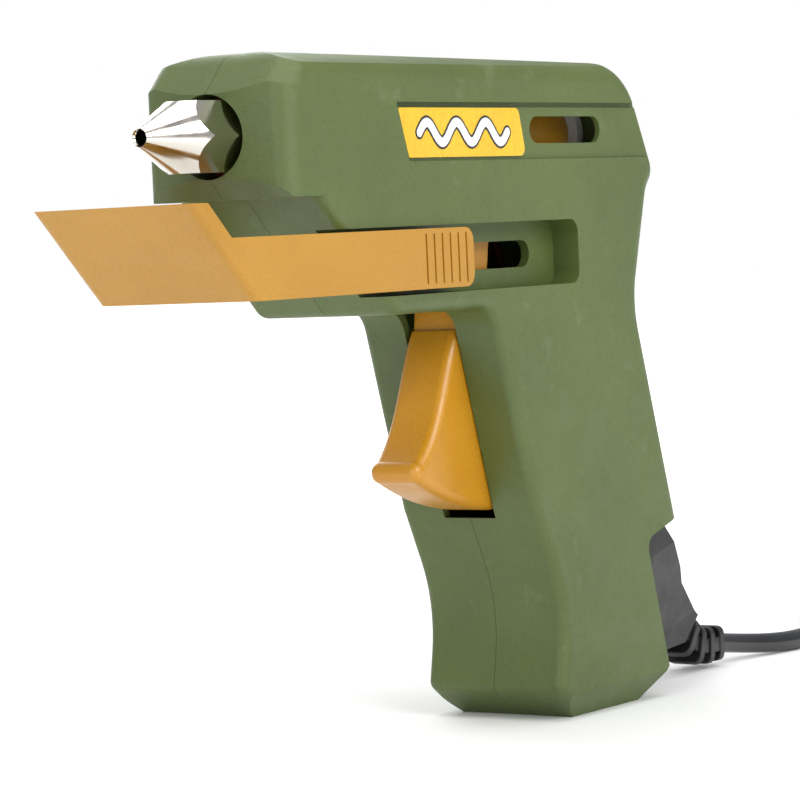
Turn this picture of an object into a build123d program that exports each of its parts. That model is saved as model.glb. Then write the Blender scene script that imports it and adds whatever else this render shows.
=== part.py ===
"""Hot-glue gun for 11 mm sticks: moulded clamshell, heated chamber, trigger feed, slide-out stand, mains lead.

Frame: +X towards the nozzle, +Y the gun's left side, +Z up.  The gun stands on the flat end of its grip.
"""

from math import cos, hypot, pi, radians, sin, sqrt, tan
import os

from build123d import *

os.makedirs("parts", exist_ok=True)


# ------------------------------------------------------------------ driving dimensions (mm)
AXIS_Z = 155.0          # height of the glue-stick axis above the end of the grip
NOSE_X = 69.0           # front plane of the nose
REAR_X = -89.0          # rear upper corner of the housing, before rounding
HALF_WIDTH = 22.0       # half the width of the clamshell
WALL = 2.4              # wall of the moulded housing
SEAM = 0.06             # each shell stops this far short of the middle plane
STICK_R = 5.6           # 11.2 mm glue stick
GRIP_RAKE = 0.285       # forward lean of the grip, as a slope

HEX_FLATS = 17.0        # spanner size of the nozzle
NOZZLE_LENGTH = 25.1    # nozzle tip ahead of the nose
TIP_R = 2.2             # flat ring round the outlet
OUTLET_R = 1.75
CONE_SLOPE = 0.481      # growth of the nozzle's radius towards the back
THREAD_R = 5.0

CHAMBER_R = 9.0         # outside of the melt chamber
SPIGOT_R = 7.4          # rear spigot that the inlet sleeve slips over
GUIDE_R = 8.2           # outside of the rear stick guide

ARM_TOP = -24.0         # stand arm, from the stick axis
ARM_BOTTOM = -38.9
ARM_THICK = 2.8
ARM_OUT = HALF_WIDTH + 2.0      # outer face of each arm from the middle plane
STAND_TRAVEL = 45.0
RECESS_FLOOR = HALF_WIDTH - 8.0 # floor of the arm recess, from the middle plane
ARM_REAR_X = -6.4       # rear end of the arms with the stand pulled out

PIVOT_X = -29.0         # trigger pivot
PIVOT_DROP = 39.0       # pivot below the stick axis
FORK_RISE = 27.5        # drive pin above the pivot
FORK_LEAN = 12.0        # degrees that the fork leans back at rest
TRIGGER_HALF = 7.7      # half the width of the trigger's finger face
PIN_R = 2.5
DRIVE_PIN_R = 2.0

CABLE_R = 2.9
FIT = 0.3               # gap between moulded pieces that move past each other
RUNNING = 0.06          # radial clearance of a pin in its bore
SLOT_PLAY = 0.15        # play of the drive pin in the fork's slot


def half(side):
    """+1 for the left half of the gun, -1 for the right."""
    return 1 if side == "left" else -1


# ------------------------------------------------------------------ outline of the clamshell, seen from the side
TOP_FRONT_Z = AXIS_Z + 20.0
TOP_REAR_Z = AXIS_Z + 18.2
NOSE_TOP = 10.1         # top of the nose's front face above the axis
NOSE_BOTTOM = 9.8       # and its lower edge below it
NOSE_DEPTH = 15.0       # underside of the nose below the axis
CHIN_X = NOSE_X - 14.3  # where the sloping chin starts
BELLY_Z = AXIS_Z - 44.8
GRIP_TOP_X = -18.4      # grip front where it meets the belly
SIDE_ROUND = 3.0        # rounding of the grip, belly and chin edges
TOP_ROUND = 6.0         # rounding of the shoulders and of the back

REST_Z = 56.5           # finger rest at the foot of the grip front
rest_x = GRIP_TOP_X - GRIP_RAKE * (BELLY_Z - REST_Z)
HEEL = (-106.3, 49.3)   # rear edge of the grip above the lead's step
STEP = (-87.0, 43.8)    # inner corner of the step that the lead's connector fills
STEP_FOOT = (-96.2, 8.3)
waist_x = HEEL[0] + GRIP_RAKE * (AXIS_Z - 46.4 - HEEL[1])

body_corners = [
    (NOSE_X, AXIS_Z - NOSE_BOTTOM, 0),
    (NOSE_X, AXIS_Z + NOSE_TOP, 0),
    (NOSE_X - 9.3, TOP_FRONT_Z, 8),
    (REAR_X, TOP_REAR_Z, 19),
    (-102.9, AXIS_Z - 11.7, 7),
    (-98.2, AXIS_Z - 16.8, 6),
    (waist_x, AXIS_Z - 46.4, 25),
    (HEEL[0], HEEL[1], 0),
    (STEP[0], STEP[1], 4),
    (STEP_FOOT[0], STEP_FOOT[1], 0),
    (-86.0, 0, 0),
    (-52.8, 0, 0),
    (-42.0, 8.0, 3),
    (-46.0, 30.0, 40),
    (rest_x, REST_Z, 12),
    (GRIP_TOP_X, BELLY_Z, 8),
    (CHIN_X - (AXIS_Z - NOSE_DEPTH - BELLY_Z), BELLY_Z, 5),
    (CHIN_X, AXIS_Z - NOSE_DEPTH, 0),
    (NOSE_X - 5.1, AXIS_Z - NOSE_DEPTH, 0),
]


def side_outline(inset):
    """Sketch of the housing's side view, drawn in from its edge by inset."""
    with BuildSketch(Plane.XZ) as outline:
        with BuildLine():
            FilletPolyline(
                *[(x, z) for x, z, _ in body_corners],
                radius=[r for _, _, r in body_corners],
                close=True,
            )
        make_face()
        if inset:
            offset(amount=-inset, kind=Kind.INTERSECTION)
    return outline.sketch


# ------------------------------------------------------------------ housing: solid form, then the shells
CROWN_R = 60.0          # gentle crown across the top
BOW_R = 65.0            # bow of the nose seen from above
FOOT_CHAMFER = 7.0      # height of the chamfer round the foot of the grip
REACH = 150.0
PLAN_HALF = HALF_WIDTH + 0.1    # the rounded corners of the nose run out just short of the side faces
band_front = NOSE_X - 47.6
recess_top = AXIS_Z + ARM_TOP + 0.8
recess_bottom = AXIS_Z + ARM_BOTTOM - 1.2
recess_rear = ARM_REAR_X - STAND_TRAVEL - 7.4
slot_z = AXIS_Z - 31.65
SLOT_HALF = 3.5         # half the height of the guide slot in the recess floor
SHOE_FRONT = 10.5       # front end of the guide shoe
SHOE_REAR = -1.5

with BuildPart() as solid_form:
    with BuildSketch(Plane.XZ):
        add(side_outline(0))
    extrude(amount=HALF_WIDTH, both=True)
    rim = solid_form.edges().filter_by(lambda e: abs(abs(e.center().Y) - HALF_WIDTH) < 0.01)
    fillet(
        rim.filter_by(
            lambda e: (e.center().X < CHIN_X - 1 and e.center().Z < AXIS_Z - NOSE_DEPTH)
            and e.center().X > -45
            and e.center().Z > 3
        ),
        radius=SIDE_ROUND,
    )
    rim = solid_form.edges().filter_by(lambda e: abs(abs(e.center().Y) - HALF_WIDTH) < 0.01)
    fillet(
        rim.filter_by(
            lambda e: e.center().Z > HEEL[1] + 1
            and (e.center().X < -80 or e.center().Z > AXIS_Z + NOSE_TOP + 1)
        ),
        radius=TOP_ROUND,
    )
    with BuildSketch(Plane.YZ.offset(-REACH)):
        with BuildLine():
            crown = ThreePointArc(
                (-HALF_WIDTH, TOP_FRONT_Z + 0.4 - HALF_WIDTH**2 / (2 * CROWN_R)),
                (0, TOP_FRONT_Z + 0.4),
                (HALF_WIDTH, TOP_FRONT_Z + 0.4 - HALF_WIDTH**2 / (2 * CROWN_R)),
            )
            Polyline(
                crown @ 1,
                (HALF_WIDTH, FOOT_CHAMFER),
                (HALF_WIDTH - 4.5, 0),
                (4.5 - HALF_WIDTH, 0),
                (-HALF_WIDTH, FOOT_CHAMFER),
                crown @ 0,
            )
        make_face()
    extrude(amount=2 * REACH, mode=Mode.INTERSECT)
    with BuildSketch(Plane.XY.offset(-1)) as plan:
        with BuildLine():
            bow = ThreePointArc(
                (NOSE_X - PLAN_HALF**2 / (2 * BOW_R), -PLAN_HALF),
                (NOSE_X, 0),
                (NOSE_X - PLAN_HALF**2 / (2 * BOW_R), PLAN_HALF),
            )
            Polyline(bow @ 1, (-REACH, PLAN_HALF), (-REACH, -PLAN_HALF), bow @ 0)
        make_face()
        fillet(plan.vertices().group_by(Axis.X)[-1], radius=6)
    extrude(amount=2 * AXIS_Z, mode=Mode.INTERSECT)

CAVITY_FRONT = NOSE_X - 9.0     # the nose is a thick block in front of the cavity
FLOOR_INNER = RECESS_FLOOR - WALL
CAVITY_FLOOR = FOOT_CHAMFER + 1.0   # clear of the chamfer round the foot

with BuildPart() as cavity:
    with BuildSketch(Plane.XZ):
        add(side_outline(WALL))
        with Locations((CAVITY_FRONT + REACH / 2, AXIS_Z)):
            Rectangle(REACH, REACH, mode=Mode.SUBTRACT)
    extrude(amount=HALF_WIDTH - WALL, both=True)
    with BuildSketch(Plane.YZ.offset(-REACH)):
        Polygon(
            (WALL - HALF_WIDTH, CAVITY_FLOOR),
            (HALF_WIDTH - WALL, CAVITY_FLOOR),
            (HALF_WIDTH - WALL, TOP_REAR_Z - 9),
            (HALF_WIDTH - WALL - 7, TOP_REAR_Z - 2.6),
            (WALL + 7 - HALF_WIDTH, TOP_REAR_Z - 2.6),
            (WALL - HALF_WIDTH, TOP_REAR_Z - 9),
            align=None,
        )
    extrude(amount=2 * REACH, mode=Mode.INTERSECT)
    for side in ("left", "right"):
        outward = Plane.XZ.offset(-half(side) * FLOOR_INNER)
        with BuildSketch(outward):
            with Locations((recess_rear - WALL + REACH / 2, (recess_top + recess_bottom) / 2)):
                Rectangle(REACH, recess_top - recess_bottom + 2 * WALL)
        extrude(amount=-half(side) * HALF_WIDTH, mode=Mode.SUBTRACT)

RIB_HALF = HALF_WIDTH - WALL + 0.5
MID_RIB_X = -10.8               # front of the rib that locates the inlet sleeve's flange
REAR_RIB_X = -81.0              # front of the rib that locates the stick guide
RIB_THICK = 2.0
RAIL_GAP = 6.2 + FIT            # the carriage's yoke slides between the two rails
RAIL_Z = AXIS_Z - 13.0
SLEEVE_R = 8.6

SCREW_R = 1.5
SCREW_HEAD_R = 3.0
BOSS_R = 3.5
SIDE_SEAT = HALF_WIDTH - WALL - 0.2    # where a screw head seats, from the middle plane
FLOOR_SEAT = 12.2
SCREW_END = 8.0
screw_places = [
    (28.0, AXIS_Z + 13.0, SIDE_SEAT),
    (-83.5, AXIS_Z + 12.0, SIDE_SEAT),
    (CHIN_X - 29.0, AXIS_Z - 33.0, FLOOR_SEAT),
    (-85.0, AXIS_Z - 75.0, SIDE_SEAT),
    (-60.0, 16.0, SIDE_SEAT),
]

with BuildPart() as inner_ribs:
    for rib_x, hole_r in ((MID_RIB_X, SLEEVE_R), (REAR_RIB_X - RIB_THICK, GUIDE_R)):
        with BuildSketch(Plane.YZ.offset(rib_x)):
            with Locations((0, AXIS_Z + 2)):
                Rectangle(2 * RIB_HALF, 24)
            with Locations((0, AXIS_Z)):
                Circle(hole_r, mode=Mode.SUBTRACT)
        extrude(amount=RIB_THICK)
    for side in ("left", "right"):
        with BuildSketch(Plane.XZ.offset(-half(side) * RAIL_GAP)):
            with Locations((-65.5, RAIL_Z)):
                Rectangle(37, 2)
        extrude(amount=-half(side) * (RIB_HALF - RAIL_GAP))
    with BuildSketch(Plane.XZ):
        for screw_x, screw_z, _ in screw_places:
            with Locations((screw_x, screw_z)):
                Circle(BOSS_R)
    extrude(amount=RIB_HALF, both=True)
    add(cavity.part, mode=Mode.INTERSECT)

# The step wall at the foot of the grip: OUT points away from it, DOWN runs along it.
step_length = hypot(STEP[0] - STEP_FOOT[0], STEP[1] - STEP_FOOT[1])
DOWN = Vector(STEP_FOOT[0] - STEP[0], 0, STEP_FOOT[1] - STEP[1]) / step_length
OUT = Vector(DOWN.Z, 0, -DOWN.X)
STEP_PLANE = Plane(origin=(STEP[0], 0, STEP[1]), x_dir=(0, 1, 0), z_dir=OUT)
INLET_DROP = 20.0               # centre of the mains inlet below the step's corner
PRONG_R = 1.2
PRONG_APART = 10.0
PRONG_OUT = 12.0

WINDOW_LENGTH = 34.3
WINDOW_HEIGHT = 7.0
WINDOW_X = -56.3
NOZZLE_HOLE_R = HEX_FLATS / sqrt(3) + 0.35
BAND_DEPTH = 1.0
BAND_HALF = 7.3
LABEL_HALF = 9.6
LABEL_FRONT = 39.0
LABEL_REAR = -44.0
LABEL_DEPTH = 0.6
LABEL_THICK = 0.5
slope = (TOP_FRONT_Z - TOP_REAR_Z) / (NOSE_X - 9.3 - REAR_X)
SLOT_TOP = BELLY_Z - 0.7
SLOT_BOTTOM = AXIS_Z - 100.5


def top_line(x):
    """Height of the housing's top line at x."""
    return TOP_FRONT_Z - slope * (NOSE_X - 9.3 - x)


with BuildPart() as openings:
    # Recess for each stand arm, with the guide slot through its floor.
    for side in ("left", "right"):
        sign = half(side)
        with BuildSketch(Plane.XZ.offset(-sign * RECESS_FLOOR)):
            with BuildLine():
                FilletPolyline(
                    (NOSE_X + 20, recess_bottom),
                    (recess_rear, recess_bottom),
                    (recess_rear, recess_top),
                    (NOSE_X + 20, recess_top),
                    radius=[3.5, 3.5],
                )
                Line((NOSE_X + 20, recess_top), (NOSE_X + 20, recess_bottom))
            make_face()
        extrude(amount=-sign * HALF_WIDTH)
        with BuildSketch(Plane.XZ.offset(-sign * (FLOOR_INNER - 1))):
            with Locations(((SHOE_FRONT + SHOE_REAR - STAND_TRAVEL) / 2, slot_z)):
                SlotOverall(SHOE_FRONT - SHOE_REAR + STAND_TRAVEL + 1, 2 * SLOT_HALF)
        extrude(amount=-sign * HALF_WIDTH)
        # Feed window, badge band and its shadow groove.
        with BuildSketch(Plane.XZ.offset(-sign * (HALF_WIDTH - WALL - 2))):
            with Locations((WINDOW_X, AXIS_Z + 0.3)):
                SlotOverall(WINDOW_LENGTH, WINDOW_HEIGHT)
        extrude(amount=-sign * HALF_WIDTH)
        with BuildSketch(Plane.XZ.offset(-sign * (HALF_WIDTH - BAND_DEPTH))):
            Polygon(
                (band_front, AXIS_Z + BAND_HALF),
                (-REACH, AXIS_Z + BAND_HALF),
                (-REACH, AXIS_Z - BAND_HALF),
                (band_front - 4.4, AXIS_Z - BAND_HALF),
                align=None,
            )
        extrude(amount=-sign * HALF_WIDTH)
        with BuildSketch(Plane.XZ.offset(-sign * (HALF_WIDTH - 2 * BAND_DEPTH))):
            with Locations((band_front, AXIS_Z + BAND_HALF)):
                Rectangle(REACH, 1.2, align=(Align.MAX, Align.MAX))
        extrude(amount=-sign * HALF_WIDTH)
    # Nozzle hole, stick entry, trigger slot and label pocket.
    with BuildSketch(Plane.YZ.offset(CAVITY_FRONT - 1)):
        with Locations((0, AXIS_Z)):
            Circle(NOZZLE_HOLE_R)
    extrude(amount=REACH / 2)
    with BuildSketch(Plane.YZ.offset(-REACH)):
        with Locations((0, AXIS_Z)):
            Circle(GUIDE_R)
    extrude(amount=REACH + REAR_RIB_X - RIB_THICK)
    with BuildSketch(Plane.YZ.offset(-48)):
        with Locations((0, (SLOT_TOP + SLOT_BOTTOM) / 2)):
            RectangleRounded(2 * (TRIGGER_HALF + 0.4), SLOT_TOP - SLOT_BOTTOM, 0.4)
    extrude(amount=36)
    with BuildSketch(Plane.XZ):
        Polygon(
            (LABEL_FRONT, top_line(LABEL_FRONT) - LABEL_DEPTH),
            (LABEL_FRONT, TOP_FRONT_Z + 9),
            (LABEL_REAR, TOP_FRONT_Z + 9),
            (LABEL_REAR, top_line(LABEL_REAR) - LABEL_DEPTH),
            align=None,
        )
    extrude(amount=LABEL_HALF + FIT, both=True)
    # Trigger pivot, inlet prongs and screws.
    with BuildSketch(Plane.XZ):
        with Locations((PIVOT_X, AXIS_Z - PIVOT_DROP)):
            Circle(PIN_R)
    extrude(amount=FLOOR_INNER + 1.2, both=True)
    with BuildSketch(STEP_PLANE.offset(-WALL - 2)):
        with Locations((-PRONG_APART / 2, INLET_DROP), (PRONG_APART / 2, INLET_DROP)):
            Circle(PRONG_R)
    extrude(amount=WALL + 4)
    for screw_x, screw_z, seat in screw_places:
        with BuildSketch(Plane.XZ.offset(-SCREW_END)):
            with Locations((screw_x, screw_z)):
                Circle(SCREW_R)
        extrude(amount=SCREW_END + HALF_WIDTH)
        with BuildSketch(Plane.XZ.offset(seat)):
            with Locations((screw_x, screw_z)):
                Circle(SCREW_HEAD_R + 0.15)
        extrude(amount=HALF_WIDTH)


for side in ("left", "right"):
    with BuildPart() as housing:
        add(solid_form.part)
        add(cavity.part, mode=Mode.SUBTRACT)
        add(inner_ribs.part)
        add(openings.part, mode=Mode.SUBTRACT)
        split(
            bisect_by=Plane.XZ.offset(-half(side) * SEAM),
            keep=Keep.BOTTOM if side == "left" else Keep.TOP,
        )
    housing.part.label = f"{side}_housing"
    export_step(housing.part, f"parts/{side}_housing.step")


# ------------------------------------------------------------------ nozzle with its drip valve
HEX_BACK_X = CAVITY_FRONT       # the nozzle's shoulder seats on the chamber here
TIP_X = NOSE_X + NOZZLE_LENGTH
THREAD_LENGTH = 12.0
VALVE_R = 3.0                   # bore that holds the ball and its spring
BALL_R = 2.4
SEAT_R = 1.6
VALVE_FRONT = HEX_BACK_X + 2.0
VALVE_LENGTH = 11.0
BALL_TRAVEL = 1.0
cone_foot_x = TIP_X - (HEX_FLATS / sqrt(3) + 1.0 - TIP_R) / CONE_SLOPE

with BuildPart() as nozzle:
    with BuildSketch(Plane.YZ.offset(HEX_BACK_X)):
        with Locations((0, AXIS_Z)):
            RegularPolygon(HEX_FLATS / 2, 6, major_radius=False, rotation=0)
    extrude(amount=TIP_X - HEX_BACK_X)
    with BuildSketch(Plane.XZ):
        Polygon(
            (HEX_BACK_X - 1, AXIS_Z),
            (TIP_X, AXIS_Z),
            (TIP_X, AXIS_Z + TIP_R),
            (cone_foot_x, AXIS_Z + HEX_FLATS / sqrt(3) + 1.0),
            (HEX_BACK_X - 1, AXIS_Z + HEX_FLATS / sqrt(3) + 1.0),
            align=None,
        )
    revolve(axis=Axis((0, 0, AXIS_Z), (1, 0, 0)), mode=Mode.INTERSECT)
    with BuildSketch(Plane.YZ.offset(HEX_BACK_X)):
        with Locations((0, AXIS_Z)):
            Circle(THREAD_R)
    extrude(amount=-THREAD_LENGTH)
    with BuildSketch(Plane.XZ):
        Polygon(
            (HEX_BACK_X - THREAD_LENGTH - 1, AXIS_Z),
            (TIP_X + 1, AXIS_Z),
            (TIP_X + 1, AXIS_Z + OUTLET_R + 1.0),
            (TIP_X - 0.6, AXIS_Z + OUTLET_R),
            (VALVE_FRONT + 2, AXIS_Z + OUTLET_R),
            (VALVE_FRONT, AXIS_Z + VALVE_R),
            (HEX_BACK_X - THREAD_LENGTH - 1, AXIS_Z + VALVE_R),
            align=None,
        )
    revolve(axis=Axis((0, 0, AXIS_Z), (1, 0, 0)), mode=Mode.SUBTRACT)
nozzle.part.label = "nozzle"
export_step(nozzle.part, "parts/nozzle.step")

seat_x = VALVE_FRONT - VALVE_LENGTH
seat_touch = sqrt(BALL_R**2 - SEAT_R**2)
ball_x = seat_x + seat_touch + 0.05
with BuildPart() as valve_seat:
    with BuildSketch(Plane.YZ.offset(seat_x)):
        with Locations((0, AXIS_Z)):
            Circle(VALVE_R)
            Circle(SEAT_R, mode=Mode.SUBTRACT)
    extrude(amount=-(seat_x - (HEX_BACK_X - THREAD_LENGTH)))
valve_seat.part.label = "valve_seat"
export_step(valve_seat.part, "parts/valve_seat.step")

with BuildPart(Plane((ball_x, 0, AXIS_Z))) as valve_ball:
    Sphere(BALL_R)
valve_ball.part.label = "valve_ball"
export_step(valve_ball.part, "parts/valve_ball.step")


def coil_spring(start, axis, length, mean_r, wire_r, turns):
    """Open helical compression spring along an axis, as one solid wire."""
    with BuildPart() as spring:
        with BuildLine():
            turn = Helix(length / turns, length, mean_r, center=start, direction=axis)
        with BuildSketch(Plane(turn @ 0, z_dir=turn % 0)):
            Circle(wire_r)
        sweep(path=turn, is_frenet=True)
    return spring.part


VALVE_WIRE = 0.25
VALVE_COIL_R = 2.2
with BuildPart() as valve_spring:
    add(
        coil_spring(
            (ball_x + BALL_R + VALVE_WIRE, 0, AXIS_Z),
            (1, 0, 0),
            VALVE_FRONT - ball_x - BALL_R - 2 * VALVE_WIRE,
            VALVE_COIL_R,
            VALVE_WIRE,
            3,
        )
    )
valve_spring.part.label = "valve_spring"
export_step(valve_spring.part, "parts/valve_spring.step")


# ------------------------------------------------------------------ melt chamber, heater and inlet sleeve
CHAMBER_REAR = 20.0             # rear of the full-size barrel
SPIGOT_REAR = 4.0
FUNNEL_X = NOSE_X - 29.0        # the bore narrows ahead of here
BORE_R = STICK_R + 0.2
BLOCK_FRONT = NOSE_X - 25.0
BLOCK_REAR = CHAMBER_REAR
BLOCK_DEPTH = 19.0              # underside of the heater block below the axis
SLOT_LENGTH = 22.0
FILM = 0.3
CONTACT = 0.5
PTC = 4.0
heater_x = (BLOCK_FRONT + BLOCK_REAR) / 2
heater_z = AXIS_Z - 13.5
slot_height = PTC + 2 * (CONTACT + FILM)

with BuildPart() as melt_chamber:
    with BuildSketch(Plane.XZ):
        Polygon(
            (HEX_BACK_X, AXIS_Z),
            (HEX_BACK_X, AXIS_Z + CHAMBER_R),
            (CHAMBER_REAR, AXIS_Z + CHAMBER_R),
            (CHAMBER_REAR, AXIS_Z + SPIGOT_R),
            (SPIGOT_REAR, AXIS_Z + SPIGOT_R),
            (SPIGOT_REAR, AXIS_Z),
            align=None,
        )
    revolve(axis=Axis((0, 0, AXIS_Z), (1, 0, 0)))
    with BuildSketch(Plane.XY.offset(AXIS_Z - BLOCK_DEPTH)):
        with Locations((heater_x, 0)):
            RectangleRounded(BLOCK_FRONT - BLOCK_REAR, 2 * CHAMBER_R, 2)
    extrude(amount=BLOCK_DEPTH - 2)
    with BuildSketch(Plane.XZ):
        Polygon(
            (HEX_BACK_X + 1, AXIS_Z),
            (HEX_BACK_X + 1, AXIS_Z + THREAD_R),
            (HEX_BACK_X - THREAD_LENGTH, AXIS_Z + THREAD_R),
            (HEX_BACK_X - THREAD_LENGTH, AXIS_Z + VALVE_R),
            (FUNNEL_X, AXIS_Z + BORE_R),
            (SPIGOT_REAR - 1, AXIS_Z + BORE_R),
            (SPIGOT_REAR - 1, AXIS_Z),
            align=None,
        )
    revolve(axis=Axis((0, 0, AXIS_Z), (1, 0, 0)), mode=Mode.SUBTRACT)
    with BuildSketch(Plane.XZ):
        with Locations((heater_x, heater_z)):
            Rectangle(SLOT_LENGTH, slot_height)
    extrude(amount=CHAMBER_R + 1, both=True, mode=Mode.SUBTRACT)
melt_chamber.part.label = "melt_chamber"
export_step(melt_chamber.part, "parts/melt_chamber.step")

with BuildPart() as ptc_heater:
    with BuildSketch(Plane.XZ):
        with Locations((heater_x, heater_z)):
            Rectangle(SLOT_LENGTH - 2, PTC)
    extrude(amount=6, both=True)
ptc_heater.part.label = "ptc_heater"
export_step(ptc_heater.part, "parts/ptc_heater.step")

TAB_REACH = 3.0                 # the contacts stand out of the block so the wires can be soldered on
with BuildPart() as heater_contacts:
    for sign in (1, -1):
        with BuildSketch(Plane.XZ.offset(sign * CHAMBER_R)):
            with Locations((heater_x, heater_z - sign * (PTC + CONTACT) / 2)):
                Rectangle(SLOT_LENGTH - 2, CONTACT)
        extrude(amount=-sign * (2 * CHAMBER_R + TAB_REACH))
heater_contacts.part.label = "heater_contacts"
export_step(heater_contacts.part, "parts/heater_contacts.step")

with BuildPart() as heater_films:
    with BuildSketch(Plane.XZ):
        with Locations(
            (heater_x, heater_z + (slot_height - FILM) / 2),
            (heater_x, heater_z - (slot_height - FILM) / 2),
        ):
            Rectangle(SLOT_LENGTH, FILM)
    extrude(amount=CHAMBER_R + TAB_REACH / 2, both=True)
heater_films.part.label = "heater_films"
export_step(heater_films.part, "parts/heater_films.step")

SEAL_R = NOSE_DEPTH - WALL - 0.2
with BuildPart() as front_seal:
    with BuildSketch(Plane.YZ.offset(HEX_BACK_X)):
        with Locations((0, AXIS_Z)):
            Circle(SEAL_R)
            Circle(CHAMBER_R, mode=Mode.SUBTRACT)
    extrude(amount=-4)
front_seal.part.label = "front_seal"
export_step(front_seal.part, "parts/front_seal.step")

FLANGE_FRONT = MID_RIB_X
FLANGE_THICK = 3.2
SLEEVE_WALL = 2.0
with BuildPart() as inlet_sleeve:
    with BuildSketch(Plane.XZ):
        Polygon(
            (CHAMBER_REAR, AXIS_Z + SPIGOT_R),
            (CHAMBER_REAR, AXIS_Z + SPIGOT_R + SLEEVE_WALL),
            (SPIGOT_REAR - 1, AXIS_Z + SPIGOT_R + SLEEVE_WALL),
            (SPIGOT_REAR - 3, AXIS_Z + SLEEVE_R),
            (FLANGE_FRONT, AXIS_Z + SLEEVE_R),
            (FLANGE_FRONT, AXIS_Z + SLEEVE_R + 1.9),
            (FLANGE_FRONT - FLANGE_THICK, AXIS_Z + SLEEVE_R + 1.9),
            (FLANGE_FRONT - FLANGE_THICK, AXIS_Z + BORE_R + 1.2),
            (FLANGE_FRONT - FLANGE_THICK + 1.2, AXIS_Z + BORE_R),
            (SPIGOT_REAR, AXIS_Z + BORE_R),
            (SPIGOT_REAR, AXIS_Z + SPIGOT_R),
            align=None,
        )
    revolve(axis=Axis((0, 0, AXIS_Z), (1, 0, 0)))
inlet_sleeve.part.label = "inlet_sleeve"
export_step(inlet_sleeve.part, "parts/inlet_sleeve.step")

with BuildPart() as sleeve_clamp:
    with BuildSketch(Plane.YZ.offset(SPIGOT_REAR + 5)):
        with Locations((0, AXIS_Z)):
            Circle(SPIGOT_R + SLEEVE_WALL + 0.7)
            Circle(SPIGOT_R + SLEEVE_WALL, mode=Mode.SUBTRACT)
    extrude(amount=5)
sleeve_clamp.part.label = "sleeve_clamp"
export_step(sleeve_clamp.part, "parts/sleeve_clamp.step")


# ------------------------------------------------------------------ feed: carriage, jaw and return spring
CARRIAGE_FRONT = -58.0
CARRIAGE_REAR = -76.7
CARRIAGE_R = 9.0
CARRIAGE_BORE = 6.3
YOKE_HALF = RAIL_GAP - FIT
YOKE_TOP = AXIS_Z - 8.8
YOKE_DEPTH = 16.5               # underside of the yoke below the axis
JAW_HALF = 3.0
JAW_PIN_R = 1.5
JAW_PIN_X = -72.0
JAW_PIN_Z = AXIS_Z + 11.5
EAR = 2.2
FORK_THICK = 2.0
PIVOT_Z = AXIS_Z - PIVOT_DROP
DRIVE_X = PIVOT_X - FORK_RISE * tan(radians(FORK_LEAN))
DRIVE_Z = PIVOT_Z + FORK_RISE

with BuildPart() as feed_carriage:
    with BuildSketch(Plane.YZ.offset(CARRIAGE_REAR)):
        with Locations((0, AXIS_Z)):
            Circle(CARRIAGE_R)
    extrude(amount=CARRIAGE_FRONT - CARRIAGE_REAR)
    with BuildSketch(Plane.XZ):
        with BuildLine():
            FilletPolyline(
                (CARRIAGE_REAR, AXIS_Z - 4),
                (CARRIAGE_REAR, AXIS_Z - YOKE_DEPTH),
                (DRIVE_X + 5, AXIS_Z - YOKE_DEPTH),
                (DRIVE_X + 5, YOKE_TOP),
                (CARRIAGE_FRONT, YOKE_TOP),
                (CARRIAGE_FRONT, AXIS_Z - 4),
                radius=[0, 2.5, 2.5, 0],
            )
            Line((CARRIAGE_FRONT, AXIS_Z - 4), (CARRIAGE_REAR, AXIS_Z - 4))
        make_face()
    extrude(amount=YOKE_HALF, both=True)
    with BuildSketch(Plane.XZ):
        with BuildLine():
            FilletPolyline(
                (CARRIAGE_REAR, AXIS_Z + 4),
                (CARRIAGE_REAR, JAW_PIN_Z + 3.4),
                (JAW_PIN_X + 4.5, JAW_PIN_Z + 3.4),
                (JAW_PIN_X + 7.5, AXIS_Z + 4),
                radius=[3, 3],
            )
            Line((JAW_PIN_X + 7.5, AXIS_Z + 4), (CARRIAGE_REAR, AXIS_Z + 4))
        make_face()
    extrude(amount=JAW_HALF + FIT + EAR, both=True)
    with BuildSketch(Plane.YZ.offset(CARRIAGE_REAR - 1)):
        with Locations((0, AXIS_Z)):
            Circle(CARRIAGE_BORE)
    extrude(amount=CARRIAGE_FRONT - CARRIAGE_REAR + 2, mode=Mode.SUBTRACT)
    with BuildSketch(Plane.XY.offset(AXIS_Z)):
        with Locations(((CARRIAGE_REAR + CARRIAGE_FRONT) / 2 - 1, 0)):
            Rectangle(CARRIAGE_FRONT - CARRIAGE_REAR - 3, 2 * (JAW_HALF + FIT))
    extrude(amount=20, mode=Mode.SUBTRACT)
    with BuildSketch(Plane.XZ):
        with Locations((DRIVE_X, DRIVE_Z)):
            Circle(DRIVE_PIN_R)
        with Locations((JAW_PIN_X, JAW_PIN_Z)):
            Circle(JAW_PIN_R)
    extrude(amount=CARRIAGE_R, both=True, mode=Mode.SUBTRACT)
feed_carriage.part.label = "feed_carriage"
export_step(feed_carriage.part, "parts/feed_carriage.step")

with BuildPart() as drive_pin:
    with BuildSketch(Plane.XZ):
        with Locations((DRIVE_X, DRIVE_Z)):
            Circle(DRIVE_PIN_R)
    extrude(amount=YOKE_HALF + FIT + FORK_THICK + 0.3, both=True)
drive_pin.part.label = "drive_pin"
export_step(drive_pin.part, "parts/drive_pin.step")

with BuildPart() as jaw_pin:
    with BuildSketch(Plane.XZ):
        with Locations((JAW_PIN_X, JAW_PIN_Z)):
            Circle(JAW_PIN_R)
    extrude(amount=JAW_HALF + FIT + EAR, both=True)
jaw_pin.part.label = "jaw_pin"
export_step(jaw_pin.part, "parts/jaw_pin.step")

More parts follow.
